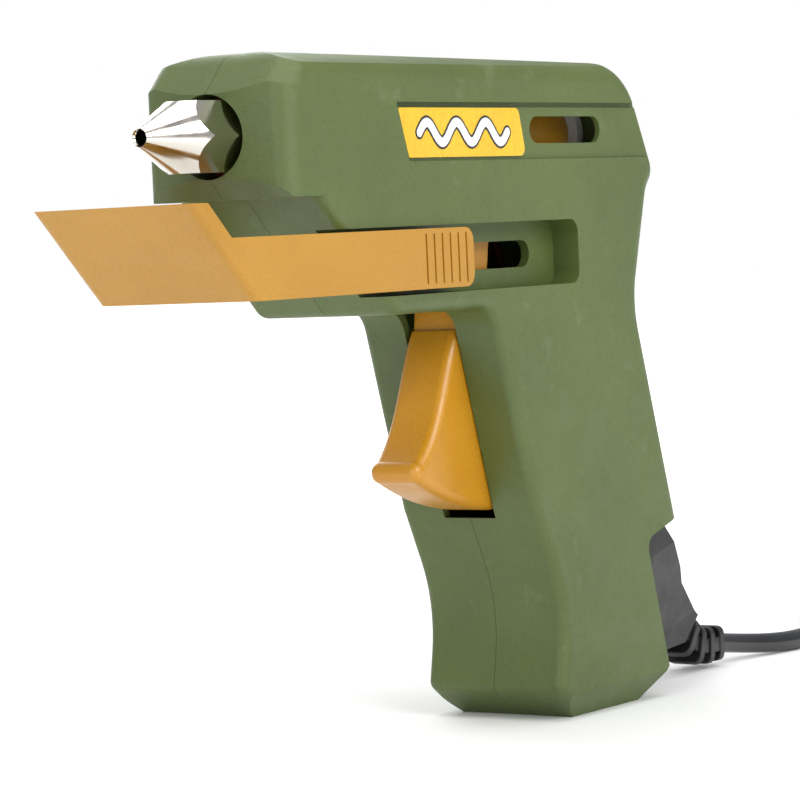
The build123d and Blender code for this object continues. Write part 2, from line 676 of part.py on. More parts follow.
JAW_TIP_Z = AXIS_Z + STICK_R + 0.7
with BuildPart() as feed_jaw:
    with BuildSketch(Plane.XZ):
        with BuildLine():
            Polyline(
                (JAW_PIN_X - 2.6, AXIS_Z + 8.9),
                (JAW_PIN_X - 2.6, JAW_PIN_Z + 2.6),
                (JAW_PIN_X + 2.6, JAW_PIN_Z + 2.6),
                (JAW_PIN_X + 9.4, AXIS_Z + 9.5),
                (JAW_PIN_X + 9.4, JAW_TIP_Z),
                (JAW_PIN_X + 7.6, JAW_TIP_Z + 0.8),
                (JAW_PIN_X + 5.8, JAW_TIP_Z),
                (JAW_PIN_X + 4.0, AXIS_Z + 8.4),
                close=True,
            )
        make_face()
        with Locations((JAW_PIN_X, JAW_PIN_Z)):
            Circle(JAW_PIN_R + RUNNING, mode=Mode.SUBTRACT)
    extrude(amount=JAW_HALF, both=True)
feed_jaw.part.label = "feed_jaw"
export_step(feed_jaw.part, "parts/feed_jaw.step")

SPRING_WIRE = 0.5
SPRING_R = 7.5
spring_front = FLANGE_FRONT - FLANGE_THICK - 0.1
with BuildPart() as return_spring:
    add(
        coil_spring(
            (CARRIAGE_FRONT + SPRING_WIRE + 0.1, 0, AXIS_Z),
            (1, 0, 0),
            spring_front - CARRIAGE_FRONT - 2 * SPRING_WIRE - 0.1,
            SPRING_R,
            SPRING_WIRE,
            9,
        )
    )
return_spring.part.label = "return_spring"
export_step(return_spring.part, "parts/return_spring.step")

RING_FRONT = CARRIAGE_REAR - 0.6
RING_THICK = 3.0
RING_LIP = 3.2                  # how far the ring stands out round the stick guide
STICK_ENTRY_R = 6.0
GUIDE_REAR = -94.5
with BuildPart() as guide_ring:
    with BuildSketch(Plane.YZ.offset(RING_FRONT)):
        with Locations((0, AXIS_Z)):
            Circle(GUIDE_R + RING_LIP)
            Circle(STICK_ENTRY_R + 0.2, mode=Mode.SUBTRACT)
    extrude(amount=-RING_THICK)
guide_ring.part.label = "guide_ring"
export_step(guide_ring.part, "parts/guide_ring.step")

with BuildPart() as stick_guide:
    with BuildSketch(Plane.YZ.offset(RING_FRONT - RING_THICK)):
        with Locations((0, AXIS_Z)):
            Circle(GUIDE_R)
            Circle(STICK_ENTRY_R, mode=Mode.SUBTRACT)
    extrude(amount=GUIDE_REAR - RING_FRONT + RING_THICK)
stick_guide.part.label = "stick_guide"
export_step(stick_guide.part, "parts/stick_guide.step")


# ------------------------------------------------------------------ trigger
FORK_HALF = YOKE_HALF + FIT
NECK_HALF = 6.5
with BuildPart() as trigger:
    with BuildSketch(Plane.XZ):
        with BuildLine():
            finger = Spline(
                (PIVOT_X + 8.0, PIVOT_Z - 11.5),
                (PIVOT_X + 13.4, PIVOT_Z - 22.5),
                (PIVOT_X + 20.0, PIVOT_Z - 36.5),
                (PIVOT_X + 26.4, PIVOT_Z - 44.0),
            )
            toe = ThreePointArc(
                finger @ 1,
                (PIVOT_X + 28.8, PIVOT_Z - 46.4),
                (PIVOT_X + 26.4, PIVOT_Z - 49.8),
            )
            under = ThreePointArc(
                toe @ 1,
                (PIVOT_X + 9.0, PIVOT_Z - 56.6),
                (PIVOT_X - 6.8, PIVOT_Z - 59.4),
            )
            Polyline(
                under @ 1,
                (PIVOT_X - 7.2, PIVOT_Z - 11.5),
                finger @ 0,
            )
        make_face()
    extrude(amount=TRIGGER_HALF, both=True)
    long_edges = trigger.edges().filter_by(
        lambda e: abs(abs(e.center().Y) - TRIGGER_HALF) < 0.01 and e.center().X > PIVOT_X - 6
        and e.center().Z < PIVOT_Z - 12
    )
    fillet(long_edges, radius=2.5)
    with BuildSketch(Plane.XZ):
        Polygon(
            (PIVOT_X - 6.0, PIVOT_Z - 14),
            (PIVOT_X + 7.2, PIVOT_Z - 14),
            (PIVOT_X + 5.2, PIVOT_Z),
            (PIVOT_X - 5.2, PIVOT_Z),
            align=None,
        )
        with Locations((PIVOT_X, PIVOT_Z)):
            Circle(5.3)
    extrude(amount=NECK_HALF, both=True)
    fork_plane = Plane(
        origin=(PIVOT_X, 0, PIVOT_Z),
        x_dir=(cos(radians(FORK_LEAN)), 0, sin(radians(FORK_LEAN))),
        z_dir=(0, -1, 0),
    )
    reach = FORK_RISE / cos(radians(FORK_LEAN))
    for sign in (1, -1):
        with BuildSketch(fork_plane.offset(sign * FORK_HALF)):
            with BuildLine():
                FilletPolyline(
                    (-5.3, -2),
                    (-4.2, reach + 4.6),
                    (4.2, reach + 4.6),
                    (5.3, -2),
                    radius=[3, 3],
                )
                Line((5.3, -2), (-5.3, -2))
            make_face()
            with Locations((0, 0)):
                Circle(5.3)
            with Locations((0, reach - 0.35)):
                SlotOverall(
                    2 * (DRIVE_PIN_R + SLOT_PLAY) + 1.6,
                    2 * (DRIVE_PIN_R + SLOT_PLAY),
                    rotation=90,
                    mode=Mode.SUBTRACT,
                )
        extrude(amount=sign * FORK_THICK)
    with BuildSketch(Plane.XZ):
        with Locations((PIVOT_X, PIVOT_Z)):
            Circle(PIN_R + RUNNING)
    extrude(amount=HALF_WIDTH, both=True, mode=Mode.SUBTRACT)
trigger.part.label = "trigger"
export_step(trigger.part, "parts/trigger.step")

with BuildPart() as trigger_pin:
    with BuildSketch(Plane.XZ):
        with Locations((PIVOT_X, PIVOT_Z)):
            Circle(PIN_R)
    extrude(amount=FLOOR_INNER + 1.2, both=True)
trigger_pin.part.label = "trigger_pin"
export_step(trigger_pin.part, "parts/trigger_pin.step")


# ------------------------------------------------------------------ slide-out stand
PLATE_X = 53.2                  # outer face of the plate: x = z - AXIS_Z + NOSE_X + this
PLATE_TOP = -15.9
PLATE_ROUND = 2.5
GRIP_LINES = 6
plate_plan = ARM_THICK * sqrt(2)
plate_low_x = NOSE_X + PLATE_X + ARM_BOTTOM

with BuildPart() as stand_bracket:
    with BuildSketch(Plane.XY.offset(AXIS_Z + ARM_BOTTOM)) as channel:
        with BuildLine():
            FilletPolyline(
                (plate_low_x - 6.2, -ARM_OUT),
                (plate_low_x, -ARM_OUT),
                (plate_low_x, ARM_OUT),
                (plate_low_x - 6.2, ARM_OUT),
                (plate_low_x - 6.2, ARM_OUT - ARM_THICK),
                (plate_low_x - plate_plan, ARM_OUT - ARM_THICK),
                (plate_low_x - plate_plan, ARM_THICK - ARM_OUT),
                (plate_low_x - 6.2, ARM_THICK - ARM_OUT),
                radius=[0, PLATE_ROUND, PLATE_ROUND, 0, 0, 1.0, 1.0, 0],
                close=True,
            )
        make_face()
    extrude(amount=(PLATE_TOP - ARM_BOTTOM) * sqrt(2), dir=(1, 0, 1))
    for side in ("left", "right"):
        sign = half(side)
        with BuildSketch(Plane.XZ.offset(-sign * (ARM_OUT - ARM_THICK))):
            with BuildLine():
                FilletPolyline(
                    (plate_low_x - 3.0, AXIS_Z + ARM_BOTTOM),
                    (ARM_REAR_X, AXIS_Z + ARM_BOTTOM),
                    (ARM_REAR_X, AXIS_Z + ARM_TOP),
                    (plate_low_x - 3.0 + ARM_TOP - ARM_BOTTOM, AXIS_Z + ARM_TOP),
                    radius=[3.5, 3.5],
                )
                Line(
                    (plate_low_x - 3.0 + ARM_TOP - ARM_BOTTOM, AXIS_Z + ARM_TOP),
                    (plate_low_x - 3.0, AXIS_Z + ARM_BOTTOM),
                )
            make_face()
        extrude(amount=-sign * ARM_THICK)
        with BuildSketch(Plane.XZ.offset(-sign * (ARM_OUT - 0.5))):
            for line in range(GRIP_LINES):
                with Locations((ARM_REAR_X + 3.2 + 3.5 * line, AXIS_Z + (ARM_TOP + ARM_BOTTOM) / 2)):
                    SlotOverall(ARM_TOP - ARM_BOTTOM - 2.4, 0.7, rotation=90)
        extrude(amount=-sign * 1, mode=Mode.SUBTRACT)
stand_bracket.part.label = "stand_bracket"
export_step(stand_bracket.part, "parts/stand_bracket.step")

SHOE_HEAD = 2.0                 # flange of the shoe behind the recess floor
RIVET_R = 2.0
shoe_inner = FLOOR_INNER - FIT - SHOE_HEAD
with BuildPart() as guide_shoes:
    for side in ("left", "right"):
        sign = half(side)
        with BuildSketch(Plane.XZ.offset(-sign * (ARM_OUT - ARM_THICK))):
            with Locations(((SHOE_FRONT + SHOE_REAR) / 2, slot_z)):
                SlotOverall(SHOE_FRONT - SHOE_REAR, 2 * (SLOT_HALF - FIT))
        extrude(amount=sign * (ARM_OUT - ARM_THICK - shoe_inner))
        with BuildSketch(Plane.XZ.offset(-sign * shoe_inner)):
            with Locations(((SHOE_FRONT + SHOE_REAR) / 2, slot_z + 0.8)):
                Rectangle(SHOE_FRONT - SHOE_REAR, 2 * SLOT_HALF + 2.6)
        extrude(amount=-sign * SHOE_HEAD)
guide_shoes.part.label = "guide_shoes"
export_step(guide_shoes.part, "parts/guide_shoes.step")


# ------------------------------------------------------------------ fasteners, badges, label
with BuildPart() as housing_screws:
    for screw_x, screw_z, seat in screw_places:
        with BuildSketch(Plane.XZ.offset(-SCREW_END)):
            with Locations((screw_x, screw_z)):
                Circle(SCREW_R)
        extrude(amount=SCREW_END + seat)
        with BuildSketch(Plane.XZ.offset(seat)):
            with Locations((screw_x, screw_z)):
                Circle(SCREW_HEAD_R)
        extrude(amount=1.6)
        with BuildSketch(Plane.XZ.offset(seat + 0.6)):
            with Locations((screw_x, screw_z)):
                Rectangle(3.4, 0.9)
                Rectangle(0.9, 3.4)
        extrude(amount=2, mode=Mode.SUBTRACT)
housing_screws.part.label = "housing_screws"
export_step(housing_screws.part, "parts/housing_screws.step")

BADGE_THICK = 0.8
for side in ("left", "right"):
    sign = half(side)
    with BuildPart() as badge:
        with BuildSketch(Plane.XZ.offset(-sign * (HALF_WIDTH - BAND_DEPTH))):
            with BuildLine():
                FilletPolyline(
                    (band_front - 0.6, AXIS_Z + 5.9),
                    (band_front - 54.4, AXIS_Z + 5.9),
                    (band_front - 57.2, AXIS_Z - 6.4),
                    (band_front - 4.6, AXIS_Z - 6.4),
                    radius=[0.6, 2, 2, 0.6],
                    close=True,
                )
            make_face()
        extrude(amount=-sign * BADGE_THICK)
    badge.part.label = f"{side}_badge"
    export_step(badge.part, f"parts/{side}_badge.step")

with BuildPart() as top_label:
    with BuildSketch(Plane.XZ):
        Polygon(
            (LABEL_FRONT - FIT, top_line(LABEL_FRONT - FIT) - LABEL_DEPTH),
            (LABEL_FRONT - FIT, top_line(LABEL_FRONT - FIT) - LABEL_DEPTH + LABEL_THICK),
            (LABEL_REAR + FIT, top_line(LABEL_REAR + FIT) - LABEL_DEPTH + LABEL_THICK),
            (LABEL_REAR + FIT, top_line(LABEL_REAR + FIT) - LABEL_DEPTH),
            align=None,
        )
    extrude(amount=LABEL_HALF, both=True)
top_label.part.label = "top_label"
export_step(top_label.part, "parts/top_label.step")


# ------------------------------------------------------------------ mains inlet and inner wires
SOCKET_THICK = 8.0
with BuildPart() as mains_inlet:
    with BuildSketch(STEP_PLANE.offset(-WALL)):
        with Locations((0, INLET_DROP)):
            Rectangle(22, 14)
            with Locations((-PRONG_APART / 2, 0), (PRONG_APART / 2, 0)):
                Circle(PRONG_R, mode=Mode.SUBTRACT)
    extrude(amount=-SOCKET_THICK)
mains_inlet.part.label = "mains_inlet"
export_step(mains_inlet.part, "parts/mains_inlet.step")

with BuildPart() as inlet_prongs:
    with BuildSketch(STEP_PLANE.offset(-WALL - SOCKET_THICK)):
        with Locations((-PRONG_APART / 2, INLET_DROP), (PRONG_APART / 2, INLET_DROP)):
            Circle(PRONG_R)
    extrude(amount=SOCKET_THICK + WALL + PRONG_OUT)
inlet_prongs.part.label = "inlet_prongs"
export_step(inlet_prongs.part, "parts/inlet_prongs.step")

WIRE_R = 1.0
prong_back = STEP_PLANE.offset(-WALL - SOCKET_THICK)
with BuildPart() as heater_wires:
    for side in ("left", "right"):
        sign = half(side)
        start = prong_back.from_local_coords((sign * PRONG_APART / 2, INLET_DROP, 0))
        with BuildLine() as wire_path:
            FilletPolyline(
                start,
                start - 6 * OUT,
                (start.X + 2, sign * 9, AXIS_Z - 90),
                (-78, sign * 14, AXIS_Z - 40),
                (-70, sign * 15, AXIS_Z - 17.6),
                (-5, sign * 15, AXIS_Z - 17.6),
                (heater_x - 6, sign * 13.5, heater_z + sign * (PTC + CONTACT) / 2),
                (heater_x - 6, sign * (CHAMBER_R + TAB_REACH), heater_z + sign * (PTC + CONTACT) / 2),
                radius=[4, 12, 12, 8, 8, 1.2],
            )
        with BuildSketch(Plane(wire_path.line @ 0, z_dir=wire_path.line % 0)):
            Circle(WIRE_R)
        sweep(path=wire_path.line)
heater_wires.part.label = "heater_wires"
export_step(heater_wires.part, "parts/heater_wires.step")


# ------------------------------------------------------------------ mains lead: connector, boot, cable, hank, plug
STEP_GAP = 0.25
CONNECTOR_TOP_HALF = 16.0       # half-width where it meets the housing's heel
CONNECTOR_FOOT_HALF = 7.5
BOOT_START = Vector(-134.0, 0, 13.6)
BOOT_BEND = Vector(-141.0, 0, 6.6)
BOOT_END = Vector(-155.0, 0, 6.6)
BOOT_RADIUS = 23.5
BOOT_CORE_R = 4.3
PRONG_PLAY = 0.15


def at_step(out, down):
    """Side-view point a distance out from the step wall and down along it."""
    place = Vector(STEP[0], 0, STEP[1]) + OUT * out + DOWN * down
    return (place.X, place.Z)


with BuildPart() as lead_connector:
    with BuildSketch(Plane.XZ):
        Polygon(
            at_step(STEP_GAP, 3.4),
            at_step(3.4, 0.9),
            at_step(22.3, 0.9),
            at_step(31.7, 17.3),
            at_step(36.6, 31.9),
            (BOOT_START.X - 3.4, BOOT_START.Z + 3.4),
            (BOOT_START.X + 3.6, BOOT_START.Z - 3.6),
            at_step(STEP_GAP, step_length + 1.0),
            align=None,
        )
    extrude(amount=CONNECTOR_TOP_HALF, both=True)
    with BuildSketch(STEP_PLANE):
        Polygon(
            (-CONNECTOR_TOP_HALF, 0),
            (CONNECTOR_TOP_HALF, 0),
            (CONNECTOR_TOP_HALF, 9),
            (CONNECTOR_FOOT_HALF, step_length),
            (CONNECTOR_FOOT_HALF - 1, step_length + 15),
            (1 - CONNECTOR_FOOT_HALF, step_length + 15),
            (-CONNECTOR_FOOT_HALF, step_length),
            (-CONNECTOR_TOP_HALF, 9),
            align=None,
        )
    extrude(amount=60, mode=Mode.INTERSECT)
    ridges = lead_connector.edges().filter_by(
        lambda e: abs(e.center().Y) > 6 and (e.center() - Vector(STEP[0], 0, STEP[1])).dot(OUT) > 23
        and (e.center() - Vector(STEP[0], 0, STEP[1])).dot(DOWN) < 32
        and (e.center() - Vector(STEP[0], 0, STEP[1])).dot(DOWN) > 2
    )
    chamfer(ridges, length=3.5)
    with BuildSketch(STEP_PLANE.offset(-1)):
        with Locations((-PRONG_APART / 2, INLET_DROP), (PRONG_APART / 2, INLET_DROP)):
            Circle(PRONG_R + PRONG_PLAY)
    extrude(amount=PRONG_OUT + 2, mode=Mode.SUBTRACT)
lead_connector.part.label = "lead_connector"
export_step(lead_connector.part, "parts/lead_connector.step")

BOOT_COLLARS = 5
COLLAR_THICK = 2.4
with BuildPart() as strain_relief:
    with BuildLine() as boot_path:
        FilletPolyline(BOOT_START, BOOT_BEND, BOOT_END, radius=[BOOT_RADIUS])
    boot = boot_path.line
    with BuildSketch(Plane(boot @ 0, z_dir=boot % 0)):
        Circle(BOOT_CORE_R)
    sweep(path=boot)
    for collar in range(BOOT_COLLARS):
        along = 0.09 + 0.2 * collar
        with BuildSketch(Plane(boot @ along, x_dir=(0, 1, 0), z_dir=boot % along)):
            RectangleRounded(13.4 - 0.6 * collar, 12.4 - 0.6 * collar, 2.2)
        extrude(amount=COLLAR_THICK / 2, both=True)
strain_relief.part.label = "strain_relief"
export_step(strain_relief.part, "parts/strain_relief.step")

# The spare lead is folded into a flat hank in line with the gun, two runs side by side in each of two layers.
HANK_NEAR = Vector(-270.0, 2.1, 0)      # centre of the fold nearest to the gun
HANK_RUN = 90.0                 # straight part of each loop
FOLD_R = 20.3                   # mean radius of the folds
HANK_COLUMNS = 2
HANK_LAYERS = 2
HANK_LOOPS = 4
HANK_SLACK = 0.2
hank_half = HANK_COLUMNS * CABLE_R
hank_height = HANK_LAYERS * 2 * CABLE_R + HANK_SLACK
route = [
    BOOT_END,
    Vector(-169.8, 1.1, 4.5),
    Vector(-185.0, 6.5, 2.95),
    Vector(-202.0, 8.5, 2.95),
    Vector(-220.0, 2.5, 2.95),
    Vector(-236.5, -8.0, 2.95),
    Vector(-253.0, -17.5, 2.95),
    Vector(-270.0, -21.1, 2.95),
]


def tangent_radii(points):
    """Largest fair radius for each corner of a route: 0.45 of its shorter run over tan(half the turn)."""
    radii = []
    for before, corner, after in zip(points, points[1:], points[2:]):
        turn = radians((corner - before).get_angle(after - corner))
        shorter = min((corner - before).length, (after - corner).length)
        radii.append(0.45 * shorter / tan(turn / 2))
    return radii


cable_radii = tangent_radii(route)
print("cable corner radii", [round(r, 1) for r in cable_radii])
with BuildPart() as lead_cable:
    with BuildLine() as cable_path:
        FilletPolyline(*route, radius=cable_radii)
    with BuildSketch(Plane(cable_path.line @ 0, z_dir=cable_path.line % 0)):
        Circle(CABLE_R)
    sweep(path=cable_path.line)
cable_length = cable_path.wire().length
print("cable tube volume over section times length", lead_cable.part.volume / (pi * CABLE_R**2 * cable_length))
lead_cable.part.label = "lead_cable"
export_step(lead_cable.part, "parts/lead_cable.step")

with BuildPart() as lead_hank:
    with BuildSketch(Plane.XY):
        with Locations(HANK_NEAR - Vector(HANK_RUN / 2, 0, 0)):
            SlotCenterToCenter(HANK_RUN, 2 * (FOLD_R + hank_half))
            SlotCenterToCenter(HANK_RUN, 2 * (FOLD_R - hank_half), mode=Mode.SUBTRACT)
    extrude(amount=hank_height)
lead_hank.part.label = "lead_hank"
export_step(lead_hank.part, "parts/lead_hank.step")

TIE_WIDTH = 5.0
TIE_THICK = 0.8
TIE_X = HANK_NEAR.X - HANK_RUN / 2 - 8
with BuildPart() as hank_tie:
    with BuildSketch(Plane.YZ.offset(TIE_X - TIE_WIDTH / 2)):
        with Locations((HANK_NEAR.Y, (hank_height + TIE_THICK) / 2)):
            Rectangle(2 * (FOLD_R + hank_half + TIE_THICK), hank_height + TIE_THICK)
            Rectangle(2 * (FOLD_R + hank_half) - 0.4, hank_height - TIE_THICK, mode=Mode.SUBTRACT)
    extrude(amount=TIE_WIDTH)
hank_tie.part.label = "hank_tie"
export_step(hank_tie.part, "parts/hank_tie.step")

# The end of the last loop crosses over the hank and ends in the plug, which lies on it.
tail_route = [
    Vector(-270.0, -21.1, 14.6),
    Vector(-282.0, -18.7, 14.9),
    Vector(-294.0, -12.9, 16.0),
    Vector(-306.0, -6.1, 17.4),
    Vector(-318.0, -0.3, 18.4),
    Vector(-330.0, 2.1, 18.7),
]
plug_rear = tail_route[-1]
tail_radii = tangent_radii(tail_route)
print("tail corner radii", [round(r, 1) for r in tail_radii])
with BuildPart() as lead_tail:
    with BuildLine() as tail_path:
        FilletPolyline(*tail_route, radius=tail_radii)
    with BuildSketch(Plane(tail_path.line @ 0, z_dir=tail_path.line % 0)):
        Circle(CABLE_R)
    sweep(path=tail_path.line)
tail_length = tail_path.wire().length
print("tail tube volume over section times length", lead_tail.part.volume / (pi * CABLE_R**2 * tail_length))
lead_tail.part.label = "lead_tail"
export_step(lead_tail.part, "parts/lead_tail.step")

PLUG_BOOT = 16.0
PLUG_BODY = 26.0
PLUG_HALF = 17.6
PLUG_HIGH = 13.6
PLUG_PIN_R = 2.0
PLUG_PIN_OUT = 19.0
PLUG_PIN_APART = 18.6
PIN_ROOT = 8.0                  # thinner root of each pin, moulded into the plug
PIN_ROOT_R = 1.5
plug_plane = Plane(plug_rear, x_dir=(0, 1, 0), z_dir=(-1, 0, 0))
with BuildPart() as plug_body:
    with BuildSketch(plug_plane):
        Ellipse(5.2, 4.6)
    with BuildSketch(plug_plane.offset(PLUG_BOOT)):
        RectangleRounded(20, 11.5, 5.0)
    loft()
    with BuildSketch(plug_plane.offset(PLUG_BOOT)):
        RectangleRounded(20, 11.5, 5.0)
    with BuildSketch(plug_plane.offset(PLUG_BOOT + 9)):
        RectangleRounded(2 * PLUG_HALF, PLUG_HIGH, 6.0)
    loft()
    with BuildSketch(plug_plane.offset(PLUG_BOOT + 9)):
        RectangleRounded(2 * PLUG_HALF, PLUG_HIGH, 6.0)
    extrude(amount=PLUG_BODY - 9)
    with BuildSketch(plug_plane.offset(PLUG_BOOT + PLUG_BODY - PIN_ROOT)):
        with Locations((-PLUG_PIN_APART / 2, 0), (PLUG_PIN_APART / 2, 0)):
            Circle(PIN_ROOT_R)
    extrude(amount=PIN_ROOT + 1, mode=Mode.SUBTRACT)
plug_body.part.label = "plug_body"
export_step(plug_body.part, "parts/plug_body.step")

with BuildPart() as plug_pins:
    with BuildSketch(plug_plane.offset(PLUG_BOOT + PLUG_BODY - PIN_ROOT)):
        with Locations((-PLUG_PIN_APART / 2, 0), (PLUG_PIN_APART / 2, 0)):
            Circle(PIN_ROOT_R)
    extrude(amount=PIN_ROOT)
    with BuildSketch(plug_plane.offset(PLUG_BOOT + PLUG_BODY)):
        with Locations((-PLUG_PIN_APART / 2, 0), (PLUG_PIN_APART / 2, 0)):
            Circle(PLUG_PIN_R)
    extrude(amount=PLUG_PIN_OUT)
plug_pins.part.label = "plug_pins"
export_step(plug_pins.part, "parts/plug_pins.step")
turns_length = HANK_LOOPS * (2 * HANK_RUN + 2 * pi * FOLD_R)
print("lead length", round(cable_length + turns_length + tail_length))
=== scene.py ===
# %% [markdown]
# # A trigger-fed hot-glue gun
# The gun stands on the foot of its grip, with its stand pulled out under the nozzle and its mains lead plugged in
# behind. The solids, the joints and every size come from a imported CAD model. Blender adds what CAD does not hold:
# light, finishes, the flexible lead, and small moulded detail.

# %% Load the frame
from math import cos, pi, radians, sin, sqrt

import bmesh
import bpy
from mathutils import Matrix, Vector


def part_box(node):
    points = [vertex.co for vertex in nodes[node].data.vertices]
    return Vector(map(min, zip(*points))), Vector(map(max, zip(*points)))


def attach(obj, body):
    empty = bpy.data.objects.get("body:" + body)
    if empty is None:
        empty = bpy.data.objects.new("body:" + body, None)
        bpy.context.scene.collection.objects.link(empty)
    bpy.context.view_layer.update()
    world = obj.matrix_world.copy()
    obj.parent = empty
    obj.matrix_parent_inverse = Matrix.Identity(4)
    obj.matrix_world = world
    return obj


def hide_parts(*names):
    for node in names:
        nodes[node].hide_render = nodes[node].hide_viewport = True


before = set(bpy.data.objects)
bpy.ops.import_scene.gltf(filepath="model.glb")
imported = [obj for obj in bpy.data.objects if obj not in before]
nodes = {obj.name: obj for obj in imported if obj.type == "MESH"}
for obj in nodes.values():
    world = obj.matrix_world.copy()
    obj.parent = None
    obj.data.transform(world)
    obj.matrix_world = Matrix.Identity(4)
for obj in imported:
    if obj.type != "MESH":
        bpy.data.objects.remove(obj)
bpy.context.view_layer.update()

MM = 0.001

# %% [markdown]
# ## Camera
# A tool like this is usually shown from a little above its middle, turned so that the nozzle points past the lens.
# A long lens keeps the nozzle from looking swollen. The camera is placed by three angles and a distance, because
# those are easy to reason about: how far it has gone round, how high it looks from, and how much it is tipped.

# %% Place the camera
ROUND = radians(35.29)
ABOVE = radians(2.82)
TIPPED = radians(2.683)
DISTANCE = 0.8781
LENS = 155.3

looking = Vector((-cos(ROUND) * cos(ABOVE), -sin(ROUND) * cos(ABOVE), -sin(ABOVE)))
level_right = looking.cross(Vector((0, 0, 1))).normalized()
level_up = level_right.cross(looking)
right = cos(TIPPED) * level_right - sin(TIPPED) * level_up
up = sin(TIPPED) * level_right + cos(TIPPED) * level_up
aim = Vector((-0.0022, 0.0021, 0.0878))

camera = bpy.data.objects.new("camera", bpy.data.cameras.new("camera"))
bpy.context.collection.objects.link(camera)
camera.data.lens = LENS
camera.data.sensor_width = 36
stand = aim - DISTANCE * looking
camera.matrix_world = Matrix((
    (right.x, up.x, -looking.x, stand.x),
    (right.y, up.y, -looking.y, stand.y),
    (right.z, up.z, -looking.z, stand.z),
    (0, 0, 0, 1),
))
bpy.context.scene.camera = camera
print("camera at", [round(v, 4) for v in camera.matrix_world.translation])

# %% [markdown]
# ## Finding colours and adding nodes
# Paint and plastic colours are usually written as sRGB hex codes, but Blender's sockets hold linear light, so one
# function turns the first into the second. A second function adds a shader or geometry node, gives it its settings,
# and joins its inputs, which keeps every tree below short enough to read.

# %% Two helpers
def linear(code):
    """Linear RGBA of an sRGB hex colour such as 6E824B."""
    parts = [int(code[i:i + 2], 16) / 255 for i in (0, 2, 4)]
    return [p / 12.92 if p <= 0.04045 else ((p + 0.055) / 1.055) ** 2.4 for p in parts] + [1.0]


def node(tree, kind, inputs=None, **settings):
    """Adds a node with its settings. An input that is given a socket is linked to it, and any other value is set."""
    made = tree.nodes.new(kind)
    for name, value in settings.items():
        setattr(made, name, value)
    for key, value in (inputs or {}).items():
        if isinstance(value, bpy.types.NodeSocket):
            tree.links.new(value, made.inputs[key])
        else:
            made.inputs[key].default_value = value
    return made


print("olive in linear light", [round(v, 3) for v in linear("6E824B")])

# %% [markdown]
# ## The lead
# The lead is 5.8 mm PVC cable. It leaves the strain relief, sinks to the bench and runs off backwards. What is not
# needed is folded into a flat hank in line with the gun and tied. A cable is one smooth line of fixed length, so it
# is made as a single NURBS curve whose control points are the route. The hank's four loops are more
# points of that same curve: two straight runs and two folds each. The cable shifts inwards by one diameter for the
# second loop, climbs on to it for the third, moves out for the fourth and crosses over the top to the plug.

# %% Route of the lead
CABLE = 5.8
NEAR_X, FAR_X, HANK_Y = -270.0, -360.0, 2.1
OUTER_FOLD = 23.2
LOW_Z = 2.95
FOLD_STEPS = 9      # control points on each fold
RUN_STEPS = 3       # and on each straight run
QUARTERS = 16       # four loops of two runs and two folds


def ease(t, start, end):
    """0 before start, 1 after end, and smooth in between."""
    s = min(max((t - start) / (end - start), 0), 1)
    return s * s * (3 - 2 * s)


def hank_point(quarters):
    """Control point of the hank after a number of quarter loops: run back, far fold, run forward, near fold."""
    loops = quarters / 4
    radius = OUTER_FOLD - CABLE * (ease(loops, 1.0, 1.25) - ease(loops, 2.5, 2.75))
    # Where the cable climbs over a neighbour it rolls round it, one diameter away.
    climbs = (ease(loops, 2.0, 2.25), ease(loops, 3.5, 3.75))
    height = LOW_Z + sum(CABLE * sqrt(climb * (2 - climb)) for climb in climbs)
    part = quarters % 1
    stretch = int(quarters) % 4
    if stretch == 0:
        return (NEAR_X + (FAR_X - NEAR_X) * part, HANK_Y - radius, height)
    if stretch == 2:
        return (FAR_X + (NEAR_X - FAR_X) * part, HANK_Y + radius, height)
    # A quadratic curve runs a little inside its control points, so they stand out by that much.
    reach = radius / cos(pi / 2 / FOLD_STEPS)
    angle = (-pi / 2 if stretch == 1 else pi / 2) - pi * part
    centre = FAR_X if stretch == 1 else NEAR_X
    return (centre + reach * cos(angle), HANK_Y + reach * sin(angle), height)


route = [
    (-155.0, 0.0, 6.6), (-169.8, 1.1, 4.5), (-185.0, 6.5, 2.95), (-202.0, 8.5, 2.95),
    (-220.0, 2.5, 2.95), (-236.5, -8.0, 2.95), (-253.0, -17.5, 2.95), (-270.0, -21.1, 2.95),
]
for quarter in range(QUARTERS):
    steps = FOLD_STEPS if quarter % 2 else RUN_STEPS
    route += [hank_point(quarter + (step + 0.5) / steps) for step in range(steps)]
route += [
    (-282.0, -18.7, 14.9), (-294.0, -12.9, 16.0), (-306.0, -6.1, 17.4),
    (-318.0, -0.3, 18.4), (-330.0, 2.1, 18.7), (-333.0, 2.1, 18.7),
]
print(len(route), "points on the route")

# %% Draw the lead
line = bpy.data.curves.new("lead", "CURVE")
line.dimensions = "3D"
spline = line.splines.new("NURBS")
spline.points.add(len(route) - 1)
for point, place in zip(spline.points, route):
    point.co = [v * MM for v in place] + [1]
    # The curve's box is widened by this radius, so it holds the cable's real size and the bevel is 1.
    point.radius = CABLE / 2 * MM
spline.order_u = 3
spline.use_endpoint_u = True
spline.resolution_u = 5
line.bevel_depth = 1.0
line.bevel_resolution = 5
line.use_fill_caps = True
lead = bpy.data.objects.new("lead", line)
bpy.context.collection.objects.link(lead)
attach(lead, "mains_lead")
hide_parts("lead_cable", "lead_hank", "lead_tail")
print("lead drawn with", len(spline.points), "control points")

# %% [markdown]
# ## Moulded plastics
# Most of the gun is moulded nylon. A moulded surface copies its tool: the mould was spark-eroded, which leaves a fine
# even grain that scatters light and makes highlights soft. Nylon that has been handled is also never quite one
# colour: it has slow, faint shifts of tone, a little dust, and patches where fingers have polished the grain. One
# function builds such a finish from the size of its grain in millimetres, its two close tones and its gloss.

